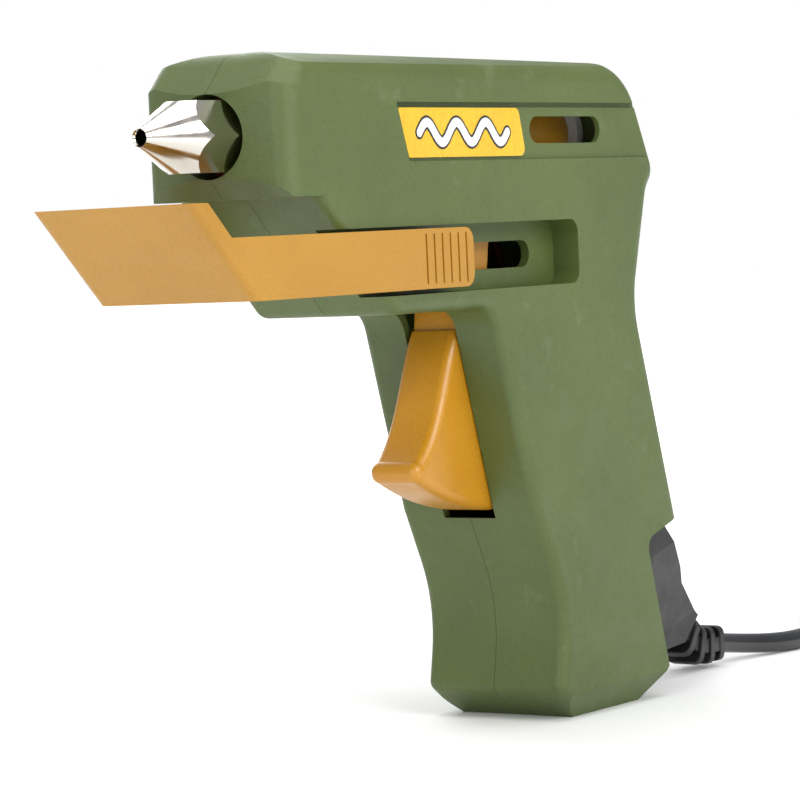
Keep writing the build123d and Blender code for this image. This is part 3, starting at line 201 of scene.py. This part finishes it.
# %% Moulded finish
def moulded(name, tone, shade, grain_mm, grain_depth_mm, smooth, rough, dust=0.0, coat=0.0):
    """Moulded plastic with two close tones, a spark-eroded grain, and a roughness that wanders between two values."""
    material = bpy.data.materials.new(name)
    material.use_nodes = True
    tree = material.node_tree
    shader = tree.nodes["Principled BSDF"]
    place = node(tree, "ShaderNodeTexCoord").outputs["Object"]
    # Slow shifts of tone are about 30 mm across, and handling marks about 9 mm.
    drift = node(tree, "ShaderNodeTexNoise", {"Vector": place, "Scale": 1000 / 30, "Detail": 3.0, "Roughness": 0.55})
    marks = node(tree, "ShaderNodeTexNoise", {"Vector": place, "Scale": 1000 / 9, "Detail": 5.0, "Roughness": 0.65})
    grain = node(
        tree,
        "ShaderNodeTexNoise",
        {"Vector": place, "Scale": 1000 / grain_mm, "Detail": 2.0, "Roughness": 0.6},
    )
    spread = node(
        tree,
        "ShaderNodeMapRange",
        {"Value": drift.outputs["Fac"], "From Min": 0.35, "From Max": 0.65},
    )
    tones = node(tree, "ShaderNodeMix", {0: spread.outputs[0], 6: linear(tone), 7: linear(shade)}, data_type="RGBA")
    # Painted shade: the grain's hollows are mixed a little towards black, a trace of shadow that keeps the colour
    # alive close up.
    grain_painted_shade = node(
        tree,
        "ShaderNodeMapRange",
        {"Value": grain.outputs["Fac"], "From Min": 0.3, "From Max": 0.5, "To Min": 0.16, "To Max": 0.0},
    )
    grain_shaded_colour = node(
        tree,
        "ShaderNodeMix",
        {0: grain_painted_shade.outputs[0], 6: tones.outputs[2], 7: linear("101010")},
        data_type="RGBA",
    )
    flecks = node(
        tree,
        "ShaderNodeMapRange",
        {"Value": marks.outputs["Fac"], "From Min": 0.60, "From Max": 0.74, "To Min": 0.0, "To Max": dust},
    )
    dusted = node(
        tree,
        "ShaderNodeMix",
        {0: flecks.outputs[0], 6: grain_shaded_colour.outputs[2], 7: linear("D9D6CC")},
        data_type="RGBA",
    )
    tree.links.new(dusted.outputs[2], shader.inputs["Base Color"])
    gloss = node(
        tree,
        "ShaderNodeMapRange",
        {"Value": marks.outputs["Fac"], "From Min": 0.35, "From Max": 0.65, "To Min": smooth, "To Max": rough},
    )
    tree.links.new(gloss.outputs[0], shader.inputs["Roughness"])
    relief = node(
        tree,
        "ShaderNodeBump",
        {"Height": grain.outputs["Fac"], "Strength": 1.0, "Distance": grain_depth_mm * MM},
    )
    tree.links.new(relief.outputs[0], shader.inputs["Normal"])
    shader.inputs["IOR"].default_value = 1.53
    shader.inputs["Coat Weight"].default_value = coat
    shader.inputs["Coat Roughness"].default_value = 0.25
    return material


# Glass-filled nylon, spark-eroded mould: a satin olive. The real grain is near 0.3 mm, and is drawn at 0.7 mm to show.
olive_nylon = moulded("olive_glass_filled_nylon", "51602C", "4B5A28", 0.7, 0.07, 0.42, 0.56, dust=0.05)
# Unfilled nylon 66, the same tool finish but polished by sliding: a warmer, slightly glossier mustard.
mustard_nylon = moulded("mustard_nylon_66", "B28122", "AB7A1D", 0.6, 0.03, 0.34, 0.46, dust=0.03)
# The trigger is the deeper, more handled mustard, and its finger face is nearly polished.
trigger_nylon = moulded("mustard_nylon_polished", "C3881A", "BA7F14", 0.6, 0.018, 0.28, 0.40, coat=0.12)
# Rigid black polyamide of the connector: fine grain with grey highlights.
black_nylon = moulded("black_nylon", "191816", "141311", 0.5, 0.05, 0.40, 0.55, dust=0.04)
# Flexible PVC of the strain relief and plug, softer and a little greasier to the eye.
black_pvc = moulded("black_flexible_pvc", "191817", "141312", 0.6, 0.04, 0.33, 0.48, dust=0.05)
# Extruded PVC jacket: smooth from the die, so it takes a long clean highlight.
jacket_pvc = moulded("extruded_pvc_jacket", "1D1D20", "191A1D", 1.2, 0.008, 0.16, 0.24, coat=0.3)
# Undyed acetal, milky white and waxy.
white_acetal = moulded("white_acetal", "E4E3E0", "DBDAD6", 0.8, 0.01, 0.30, 0.40)
print("moulded finishes:", [m.name for m in bpy.data.materials if m.use_nodes and "Coat Weight" in m.node_tree.nodes[0].inputs][:3], "...")

# %% [markdown]
# ## Metals
# The nozzle is turned from brass hexagon bar and nickel plated. Nickel is a little warmer than chrome and mirrors the
# room, but the lathe leaves faint rings round the axis that draw highlights into thin arcs. Pins, screws and springs
# are plain steel, the barrel is a rough aluminium casting, and the electrical pieces are rolled brass. They all share
# one function: a metal colour, a polish that wanders, and tool marks that run round or along an axis.

# %% Metal finish
def metal(name, tone, smooth, rough, mark_mm, mark_depth_mm, across="X"):
    """Bare or plated metal with tool marks as bands along one axis. The default IOR is kept."""
    material = bpy.data.materials.new(name)
    material.use_nodes = True
    tree = material.node_tree
    shader = tree.nodes["Principled BSDF"]
    place = node(tree, "ShaderNodeTexCoord").outputs["Object"]
    # A wave's bands repeat every pi / 10 of its scaled space.
    bands = node(
        tree,
        "ShaderNodeTexWave",
        {"Vector": place, "Scale": pi / 10 / (mark_mm * MM), "Distortion": 1.5, "Detail": 2.0, "Detail Scale": 1.2},
        bands_direction=across,
    )
    patches = node(tree, "ShaderNodeTexNoise", {"Vector": place, "Scale": 1000 / 4, "Detail": 4.0})
    polish = node(
        tree,
        "ShaderNodeMapRange",
        {"Value": patches.outputs["Fac"], "From Min": 0.35, "From Max": 0.65, "To Min": smooth, "To Max": rough},
    )
    tree.links.new(polish.outputs[0], shader.inputs["Roughness"])
    relief = node(
        tree,
        "ShaderNodeBump",
        {"Height": bands.outputs["Fac"], "Strength": 1.0, "Distance": mark_depth_mm * MM},
    )
    tree.links.new(relief.outputs[0], shader.inputs["Normal"])
    shader.inputs["Base Color"].default_value = linear(tone)
    shader.inputs["Metallic"].default_value = 1.0
    return material


# Bright nickel over turned brass. Lathe marks of 0.1 mm are drawn 0.5 mm apart so that they show.
nickel = metal("bright_nickel_plate", "D6D0C6", 0.09, 0.20, 0.5, 0.002)
# Drawn and ground steel wire and pins.
steel = metal("bright_steel", "C2C2C0", 0.22, 0.34, 0.4, 0.003, across="Y")
# Sand-like skin of a small pressure die casting.
cast_aluminium = metal("die_cast_aluminium", "B4B5B7", 0.38, 0.55, 2.5, 0.05)
# Rolled brass sheet, dull from the oven of its own heater.
sheet_brass = metal("rolled_brass", "C9A24E", 0.25, 0.42, 0.8, 0.004, across="Z")
print("metals:", nickel.name, steel.name, cast_aluminium.name, sheet_brass.name)

# %% [markdown]
# ## Finishes for the hidden pieces and the printed ones
# The seal and sleeve round the hot barrel are red-brown silicone rubber, the heating tablet is grey ceramic, and its
# insulating films are amber polyimide. The side badge is a printed yellow plate with a clear varnish. The long label
# on top is a pale self-adhesive strip with a dark printed edge; what is printed on the real one is left blank.

# %% Rubber, ceramic, film and varnished print
silicone = moulded("red_silicone_rubber", "8C3A28", "7E3223", 1.0, 0.02, 0.40, 0.55, dust=0.06)
ceramic = moulded("grey_ptc_ceramic", "6F6E70", "5F5E61", 0.3, 0.03, 0.55, 0.70)
polyimide = moulded("amber_polyimide_film", "B8732A", "AE6A22", 1.5, 0.005, 0.15, 0.28, coat=0.4)
badge_print = moulded("varnished_yellow_print", "E2B414", "DCAC10", 1.0, 0.004, 0.22, 0.32, coat=0.5)
print_white = moulded("varnished_white_print", "F2F1EE", "ECEBE7", 1.0, 0.004, 0.25, 0.35, coat=0.4)
print_black = moulded("varnished_black_print", "1C1A18", "161412", 1.0, 0.004, 0.25, 0.35, coat=0.4)


def edged_label(name, box, edge_mm):
    """A pale label with a printed dark edge, measured in from the sides of a box."""
    material = moulded(name, "DDE0DA", "D2D6CF", 1.0, 0.004, 0.28, 0.40, coat=0.3)
    tree = material.node_tree
    shader = tree.nodes["Principled BSDF"]
    pale = shader.inputs["Base Color"].links[0].from_socket
    place = node(tree, "ShaderNodeTexCoord").outputs["Object"]
    parts = node(tree, "ShaderNodeSeparateXYZ", {0: place})
    nearness = []
    for axis in (0, 1):
        middle = (box[0][axis] + box[1][axis]) / 2
        reach = (box[1][axis] - box[0][axis]) / 2 - edge_mm * MM
        off = node(tree, "ShaderNodeMath", {0: parts.outputs[axis], 1: middle}, operation="SUBTRACT")
        away = node(tree, "ShaderNodeMath", {0: off.outputs[0]}, operation="ABSOLUTE")
        nearness.append(node(tree, "ShaderNodeMath", {0: away.outputs[0], 1: reach}, operation="GREATER_THAN"))
    edge = node(
        tree,
        "ShaderNodeMath",
        {0: nearness[0].outputs[0], 1: nearness[1].outputs[0]},
        operation="MAXIMUM",
    )
    printed = node(tree, "ShaderNodeMix", {0: edge.outputs[0], 6: pale, 7: linear("26241F")}, data_type="RGBA")
    tree.links.new(printed.outputs[2], shader.inputs["Base Color"])
    return material


label_print = edged_label("pale_label_with_dark_edge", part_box("top_label"), 0.9)

# %% Give every CAD piece its finish
finishes = {
    olive_nylon: ["left_housing", "right_housing"],
    mustard_nylon: ["stand_bracket", "feed_carriage"],
    trigger_nylon: ["trigger"],
    nickel: ["nozzle", "plug_pins"],
    steel: [
        "valve_ball", "valve_spring", "return_spring", "sleeve_clamp", "drive_pin",
        "jaw_pin", "feed_jaw", "trigger_pin", "housing_screws",
    ],
    cast_aluminium: ["melt_chamber"],
    sheet_brass: ["valve_seat", "heater_contacts", "inlet_prongs"],
    silicone: ["front_seal", "inlet_sleeve", "heater_wires"],
    ceramic: ["ptc_heater"],
    polyimide: ["heater_films"],
    white_acetal: ["guide_ring"],
    black_nylon: ["stick_guide", "guide_shoes", "mains_inlet", "lead_connector"],
    badge_print: ["left_badge", "right_badge"],
    label_print: ["top_label"],
    black_pvc: ["plug_body"],
}
finished = set()
for finish, names in finishes.items():
    for name in names:
        for place in nodes[name].material_slots:
            place.material = finish
        finished.add(name)
print(len(finished), "CAD pieces finished; drawn anew:", sorted(set(nodes) - finished))

# %% [markdown]
# ## The strain relief
# The boot that guards the cable is a moulded grid: square collars in a row, joined by a flat spine down the middle of
# both sides, with open slots between them so that it bends evenly. It could be modelled block by block, but it is one
# rule repeated along a bend, so Geometry Nodes make it. One tree takes the centre line and gives back a spine swept
# along it and a collar at every step, turned to the line and a little smaller each time.

# %% A tree for collars along a line
grid = bpy.data.node_groups.new("collars_along_a_line", "GeometryNodeTree")
grid.interface.new_socket("Geometry", in_out="INPUT", socket_type="NodeSocketGeometry")
wanted = [
    ("Collars", "NodeSocketInt", 5),
    ("Collar width", "NodeSocketFloat", 13.0 * MM),
    ("Collar height", "NodeSocketFloat", 12.2 * MM),
    ("Collar length", "NodeSocketFloat", 2.5 * MM),
    ("Corner", "NodeSocketFloat", 2.6 * MM),
    ("Spine height", "NodeSocketFloat", 4.4 * MM),
    ("Core radius", "NodeSocketFloat", 3.9 * MM),
    ("Taper", "NodeSocketFloat", 0.16),
    ("Finish", "NodeSocketMaterial", None),
]
grid_inputs = {
    label: grid.interface.new_socket(label, in_out="INPUT", socket_type=kind).identifier for label, kind, _ in wanted
}
grid.interface.new_socket("Geometry", in_out="OUTPUT", socket_type="NodeSocketGeometry")
given = node(grid, "NodeGroupInput").outputs
line_up = node(grid, "GeometryNodeSetCurveNormal", {"Curve": given["Geometry"]}, mode="Z_UP")

# The spine: a flat bar as wide as the last collar, and the round core that grips the cable.
flat = node(
    grid,
    "GeometryNodeCurvePrimitiveQuadrilateral",
    {"Width": node(grid, "ShaderNodeMath", {0: given["Collar width"], 1: 0.8}, operation="MULTIPLY").outputs[0],
     "Height": given["Spine height"]},
)
spine = node(
    grid,
    "GeometryNodeCurveToMesh",
    {"Curve": line_up.outputs[0], "Profile Curve": flat.outputs[0], "Fill Caps": True},
)
ring = node(grid, "GeometryNodeCurvePrimitiveCircle", {"Resolution": 24, "Radius": given["Core radius"]})
core = node(
    grid,
    "GeometryNodeCurveToMesh",
    {"Curve": line_up.outputs[0], "Profile Curve": ring.outputs[0], "Fill Caps": True},
)

# One collar: a square with cut corners, drawn through a short straight line so that both ends close.
square = node(
    grid,
    "GeometryNodeCurvePrimitiveQuadrilateral",
    {"Width": given["Collar height"], "Height": given["Collar width"]},
)
rounded = node(
    grid,
    "GeometryNodeFilletCurve",
    {"Curve": square.outputs[0], "Radius": given["Corner"], "Count": 3},
    mode="POLY",
)
half_length = node(grid, "ShaderNodeMath", {0: given["Collar length"], 1: 0.5}, operation="MULTIPLY")
back_end = node(grid, "ShaderNodeMath", {0: half_length.outputs[0], 1: -1.0}, operation="MULTIPLY")
axle = node(
    grid,
    "GeometryNodeCurvePrimitiveLine",
    {"Start": node(grid, "ShaderNodeCombineXYZ", {"Z": back_end.outputs[0]}).outputs[0],
     "End": node(grid, "ShaderNodeCombineXYZ", {"Z": half_length.outputs[0]}).outputs[0]},
)
collar = node(
    grid,
    "GeometryNodeCurveToMesh",
    {"Curve": axle.outputs[0], "Profile Curve": rounded.outputs[0], "Fill Caps": True},
)

# The row of collars.
stations = node(grid, "GeometryNodeResampleCurve", {"Curve": line_up.outputs[0], "Count": given["Collars"]})
turn = node(
    grid,
    "FunctionNodeAlignRotationToVector",
    {"Vector": node(grid, "GeometryNodeInputTangent").outputs[0]},
    axis="Z",
    pivot_axis="Y",
)
along = node(grid, "GeometryNodeSplineParameter").outputs["Factor"]
lost = node(grid, "ShaderNodeMath", {0: along, 1: given["Taper"]}, operation="MULTIPLY")
size = node(grid, "ShaderNodeMath", {0: 1.0, 1: lost.outputs[0]}, operation="SUBTRACT")
row = node(
    grid,
    "GeometryNodeInstanceOnPoints",
    {"Points": stations.outputs[0], "Instance": collar.outputs[0], "Rotation": turn.outputs[0],
     "Scale": node(grid, "ShaderNodeCombineXYZ", {"X": size.outputs[0], "Y": size.outputs[0], "Z": 1.0}).outputs[0]},
)
joined = node(grid, "GeometryNodeJoinGeometry")
for part in (row, core, spine):
    grid.links.new(part.outputs[0], joined.inputs[0])
real = node(grid, "GeometryNodeRealizeInstances", {"Geometry": joined.outputs[0]})
coated = node(grid, "GeometryNodeSetMaterial", {"Geometry": real.outputs[0], "Material": given["Finish"]})
grid.links.new(coated.outputs[0], node(grid, "NodeGroupOutput").inputs[0])
print(grid.name, "has", len(grid.nodes), "nodes and the inputs", list(grid_inputs))


# %% [markdown]
# ## Turning a node tree into a plain mesh
# A tree is only a recipe until it is evaluated. The finished piece has to be an ordinary mesh, so one helper adds the
# tree to an object, sets its named inputs, copies the evaluated result, and takes the helper object away again.

# %% Bake a tree, and bevel the result
def baked(source, tree, settings, name, bevel_mm=0.0):
    """Runs a geometry tree on an object and returns its result as a new plain mesh object."""
    recipe = source.modifiers.new("recipe", "NODES")
    recipe.node_group = tree
    for identifier, value in settings.items():
        recipe[identifier] = value
    source.update_tag()
    view = bpy.context.evaluated_depsgraph_get()
    mesh = bpy.data.meshes.new_from_object(source.evaluated_get(view), depsgraph=view)
    piece = bpy.data.objects.new(name, mesh)
    bpy.context.collection.objects.link(piece)
    source.modifiers.remove(recipe)
    bpy.data.objects.remove(source)
    tidy = bmesh.new()
    tidy.from_mesh(mesh)
    bmesh.ops.remove_doubles(tidy, verts=tidy.verts, dist=1e-6)
    bmesh.ops.recalc_face_normals(tidy, faces=tidy.faces)
    tidy.to_mesh(mesh)
    tidy.free()
    if bevel_mm:
        soften = piece.modifiers.new("soften", "BEVEL")
        soften.width = bevel_mm * MM
        soften.segments = 2
        soften.angle_limit = radians(50)
    return piece


# %% Build the strain relief
bend = [(-133.2, 0, 14.4), (-137.4, 0, 10.0), (-141.8, 0, 7.4), (-148.0, 0, 6.6), (-154.0, 0, 6.6)]
centre_line = bpy.data.curves.new("boot_line", "CURVE")
centre_line.dimensions = "3D"
boot_spline = centre_line.splines.new("NURBS")
boot_spline.points.add(len(bend) - 1)
for point, place in zip(boot_spline.points, bend):
    point.co = [v * MM for v in place] + [1]
boot_spline.order_u = 3
boot_spline.use_endpoint_u = True
boot_line = bpy.data.objects.new("boot_line", centre_line)
bpy.context.collection.objects.link(boot_line)
settings = {grid_inputs[label]: value for label, _, value in wanted}
settings[grid_inputs["Finish"]] = black_pvc
boot = baked(boot_line, grid, settings, "strain_relief_grid", bevel_mm=0.35)
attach(boot, "mains_lead")
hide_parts("strain_relief")
corners = [v.co for v in boot.data.vertices]
print("boot", len(boot.data.polygons), "faces, y", round(min(c.y for c in corners) * 1000, 1), "to",
      round(max(c.y for c in corners) * 1000, 1), "mm, lowest", round(min(c.z for c in corners) * 1000, 1), "mm")

# %% [markdown]
# ## Grip bars on the plug
# The plug is pulled out with finger and thumb, so its flat faces carry a short row of raised bars. Points mark where
# they go, and a second small tree puts a rounded bar on each one.

# %% A tree for bars on points
rack = bpy.data.node_groups.new("bars_on_points", "GeometryNodeTree")
rack.interface.new_socket("Geometry", in_out="INPUT", socket_type="NodeSocketGeometry")
rack_inputs = {
    label: rack.interface.new_socket(label, in_out="INPUT", socket_type=kind).identifier
    for label, kind in (
        ("Bar length", "NodeSocketFloat"),
        ("Bar radius", "NodeSocketFloat"),
        ("Finish", "NodeSocketMaterial"),
    )
}
rack.interface.new_socket("Geometry", in_out="OUTPUT", socket_type="NodeSocketGeometry")
given = node(rack, "NodeGroupInput").outputs
bar = node(
    rack,
    "GeometryNodeMeshCylinder",
    {"Vertices": 12, "Radius": given["Bar radius"], "Depth": given["Bar length"]},
)
lying = node(rack, "ShaderNodeCombineXYZ", {"X": radians(90)})
bars = node(
    rack,
    "GeometryNodeInstanceOnPoints",
    {"Points": given["Geometry"], "Instance": bar.outputs[0], "Rotation": lying.outputs[0]},
)
real = node(rack, "GeometryNodeRealizeInstances", {"Geometry": bars.outputs[0]})
coated = node(rack, "GeometryNodeSetMaterial", {"Geometry": real.outputs[0], "Material": given["Finish"]})
rack.links.new(coated.outputs[0], node(rack, "NodeGroupOutput").inputs[0])
print(rack.name, "has", len(rack.nodes), "nodes")

# %% Build the bars
plug_low, plug_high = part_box("plug_body")
plug_middle = Vector(((plug_low[0] + plug_high[0]) / 2, (plug_low[1] + plug_high[1]) / 2, 0))
spots = []
for bar_number in range(5):
    spot = plug_middle - Vector(((6.0 + 2.8 * bar_number) * MM, 0, 0))
    for face in (plug_low[2] + 0.15 * MM, plug_high[2] - 0.15 * MM):
        spots.append((spot.x, spot.y, face))
spot_mesh = bpy.data.meshes.new("spots")
spot_mesh.from_pydata(spots, [], [])
spot_object = bpy.data.objects.new("spots", spot_mesh)
bpy.context.collection.objects.link(spot_object)
plug_bars = baked(
    spot_object,
    rack,
    {
        rack_inputs["Bar length"]: 15 * MM,
        rack_inputs["Bar radius"]: 0.6 * MM,
        rack_inputs["Finish"]: black_pvc,
    },
    "plug_grip_bars",
    bevel_mm=0.2,
)
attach(plug_bars, "mains_lead")
print("plug bars:", len(spots), "bars,", len(plug_bars.data.polygons), "faces")

# %% [markdown]
# ## The tie round the hank
# A soft strap holds the loops together. It is a thin band bent round a bundle with rounded corners, so it is drawn as
# its cross-section and pulled out to the strap's width.

# %% Build the tie
low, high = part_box("hank_tie")
STRAP = 0.9 * MM
CORNER = 3.0 * MM
tie = bmesh.new()
loops = []
for inset in (0.0, STRAP):
    ring_points = []
    for corner in range(4):
        side_y = (1, -1, -1, 1)[corner]
        side_z = (1, 1, -1, -1)[corner]
        reach = CORNER - inset
        centre_y = (low[1] + high[1]) / 2 + side_y * ((high[1] - low[1]) / 2 - CORNER)
        centre_z = (low[2] + high[2]) / 2 + side_z * ((high[2] - low[2]) / 2 - CORNER)
        for step in range(7):
            angle = radians(90 * corner + 15 * step)
            ring_points.append((centre_y + reach * cos(angle), centre_z + reach * sin(angle)))
    loops.append([[tie.verts.new((x, y, z)) for y, z in ring_points] for x in (low[0], high[0])])
count = len(loops[0][0])
for i in range(count):
    j = (i + 1) % count
    (outer_a, outer_b), (inner_a, inner_b) = loops
    tie.faces.new((outer_a[i], outer_a[j], outer_b[j], outer_b[i]))
    tie.faces.new((inner_a[i], inner_a[j], inner_b[j], inner_b[i]))
    tie.faces.new((outer_a[i], outer_a[j], inner_a[j], inner_a[i]))
    tie.faces.new((outer_b[i], outer_b[j], inner_b[j], inner_b[i]))
bmesh.ops.recalc_face_normals(tie, faces=tie.faces)
tie_mesh = bpy.data.meshes.new("hank_strap")
tie.to_mesh(tie_mesh)
tie.free()
strap = bpy.data.objects.new("hank_strap", tie_mesh)
bpy.context.collection.objects.link(strap)
strap.data.materials.append(black_nylon)
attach(strap, "mains_lead")
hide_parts("hank_tie")
print("strap round", round((high[1] - low[1]) * 1000, 1), "by", round((high[2] - low[2]) * 1000, 1), "mm")

# %% [markdown]
# ## The mark on the badge
# A badge on a tool carries a maker's sign. This one gets a plain picture of what the tool does: a wavy bead of white
# glue with a dark outline, and nothing that can be read. The bead is a flat ribbon that follows a sine wave. It is
# printed ink with some body, so each ribbon stands a tenth of a millimetre proud of the badge.

# %% Ribbons along a wave
def ribbon(name, centre, half_width, bottom_y, top_y, finish):
    """A flat ribbon with round ends along points in the XZ plane, from bottom_y out to top_y."""
    outline = []
    count = len(centre)
    tangents = [
        (Vector(centre[min(i + 1, count - 1)]) - Vector(centre[max(i - 1, 0)])).normalized() for i in range(count)
    ]
    for i in range(count):
        outline.append(Vector(centre[i]) + half_width * Vector((-tangents[i].y, tangents[i].x)))
    for step in range(1, 8):
        angle = pi / 2 - pi * step / 8
        across, ahead = sin(angle), cos(angle)
        way = tangents[-1]
        outline.append(Vector(centre[-1]) + half_width * (across * Vector((-way.y, way.x)) + ahead * way))
    for i in reversed(range(count)):
        outline.append(Vector(centre[i]) - half_width * Vector((-tangents[i].y, tangents[i].x)))
    for step in range(1, 8):
        angle = -pi / 2 + pi * step / 8
        across, behind = sin(angle), -cos(angle)
        way = tangents[0]
        outline.append(Vector(centre[0]) + half_width * (across * Vector((-way.y, way.x)) + behind * way))
    made = bmesh.new()
    low_ring = [made.verts.new((p.x * MM, bottom_y * MM, p.y * MM)) for p in outline]
    high_ring = [made.verts.new((p.x * MM, top_y * MM, p.y * MM)) for p in outline]
    total = len(outline)
    for ring_set in (low_ring, high_ring):
        for i in range(count - 1):
            far = total - 8 - i
            made.faces.new((ring_set[i], ring_set[i + 1], ring_set[far - 1], ring_set[far]))
        made.faces.new(ring_set[count - 1:count + 8])
        made.faces.new(ring_set[total - 8:] + [ring_set[0]])
    for i in range(total):
        j = (i + 1) % total
        made.faces.new((low_ring[i], low_ring[j], high_ring[j], high_ring[i]))
    bmesh.ops.recalc_face_normals(made, faces=made.faces)
    mesh = bpy.data.meshes.new(name)
    made.to_mesh(mesh)
    made.free()
    piece = bpy.data.objects.new(name, mesh)
    bpy.context.collection.objects.link(piece)
    piece.data.materials.append(finish)
    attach(piece, "housing")
    return piece


# %% Print the bead on both badges
WAVES = 3
badge_low, badge_high = [[v * 1000 for v in corner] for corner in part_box("left_badge")]
front_x, rear_x = badge_high[0] - 8.5, badge_low[0] + 8.0
middle_z = (badge_low[2] + badge_high[2]) / 2
wave = []
for step in range(97):
    part = step / 96
    wave.append((front_x + (rear_x - front_x) * part, middle_z + 2.5 * sin(2 * pi * WAVES * part)))
for side, face in (("left", badge_high[1]), ("right", -badge_high[1])):
    out = 1 if face > 0 else -1
    ribbon(f"{side}_bead_outline", wave, 1.75, face - 0.05 * out, face + 0.07 * out, print_black)
    ribbon(f"{side}_bead", wave, 1.15, face + 0.02 * out, face + 0.14 * out, print_white)
print("bead from", round(front_x, 1), "to", round(rear_x, 1), "mm along the badge")

# %% [markdown]
# ## Floor and light
# The tool is shown as on a photographer's table: a plain white surface that runs out of sight, a large soft light high
# on the camera's side, a second one in front of the nozzle, and a wide one overhead. The surface brightens far from
# the tool so that its edge melts into the white behind it. A mirror-like nozzle only looks like metal if it has
# something dark to mirror too, so the air round the tool is mid grey and only what the camera sees directly is white.

# %% Floor
floor_mesh = bpy.data.meshes.new("table_top")
reach = 6.0
floor_mesh.from_pydata([(-reach, -reach, 0), (reach, -reach, 0), (reach, reach, 0), (-reach, reach, 0)], [], [(0, 1, 2, 3)])
table = bpy.data.objects.new("table_top", floor_mesh)
bpy.context.collection.objects.link(table)
paper = bpy.data.materials.new("white_paper")
paper.use_nodes = True
tree = paper.node_tree
shader = tree.nodes["Principled BSDF"]
place = node(tree, "ShaderNodeTexCoord").outputs["Object"]
away = node(tree, "ShaderNodeVectorMath", {0: place}, operation="LENGTH")
glow = node(
    tree,
    "ShaderNodeMapRange",
    {"Value": away.outputs["Value"], "From Min": 0.25, "From Max": 1.3, "To Min": 0.0, "To Max": 1.0},
    interpolation_type="SMOOTHSTEP",
)
tree.links.new(glow.outputs[0], shader.inputs["Emission Strength"])
shader.inputs["Emission Color"].default_value = linear("F6F6F6")
fibres = node(tree, "ShaderNodeTexNoise", {"Vector": place, "Scale": 1000 / 1.5, "Detail": 4.0})
sheet = node(tree, "ShaderNodeMix", {0: fibres.outputs["Fac"], 6: linear("F4F4F2"), 7: linear("EFEFEE")}, data_type="RGBA")
tree.links.new(sheet.outputs[2], shader.inputs["Base Color"])
shader.inputs["Roughness"].default_value = 0.9
table.data.materials.append(paper)
print("table top", 2 * reach, "m wide")


# %% Lights
def soft_light(name, place, power, width, height, target=(0.0, 0.0, 0.09)):
    """A rectangular soft light that looks at the middle of the tool."""
    lamp = bpy.data.lights.new(name, "AREA")
    lamp.shape = "RECTANGLE"
    lamp.size = width
    lamp.size_y = height
    lamp.energy = power
    holder = bpy.data.objects.new(name, lamp)
    holder.location = place
    holder.rotation_euler = (Vector(place) - Vector(target)).to_track_quat("Z", "Y").to_euler()
    bpy.context.collection.objects.link(holder)


soft_light("key", (0.25, 1.15, 0.75), 12.0, 0.9, 0.7)
soft_light("front", (1.15, 0.15, 0.55), 4.0, 0.5, 0.6)
soft_light("overhead", (-0.1, 0.0, 1.2), 9.5, 1.2, 0.9)
soft_light("behind", (-0.7, -0.9, 0.6), 6.5, 0.7, 0.7)

world = bpy.data.worlds.new("studio")
bpy.context.scene.world = world
world.use_nodes = True
tree = world.node_tree
tree.nodes.clear()
seen = node(tree, "ShaderNodeLightPath").outputs["Is Camera Ray"]
air = node(tree, "ShaderNodeBackground", {"Color": linear("C9CBCE"), "Strength": 0.75})
backdrop = node(tree, "ShaderNodeBackground", {"Color": linear("FFFFFF"), "Strength": 1.0})
choice = node(tree, "ShaderNodeMixShader", {0: seen, 1: air.outputs[0], 2: backdrop.outputs[0]})
node(tree, "ShaderNodeOutputWorld", {"Surface": choice.outputs[0]})
bpy.context.scene.view_settings.view_transform = "Standard"

# %% Finish
lead.data.materials.append(jacket_pvc)
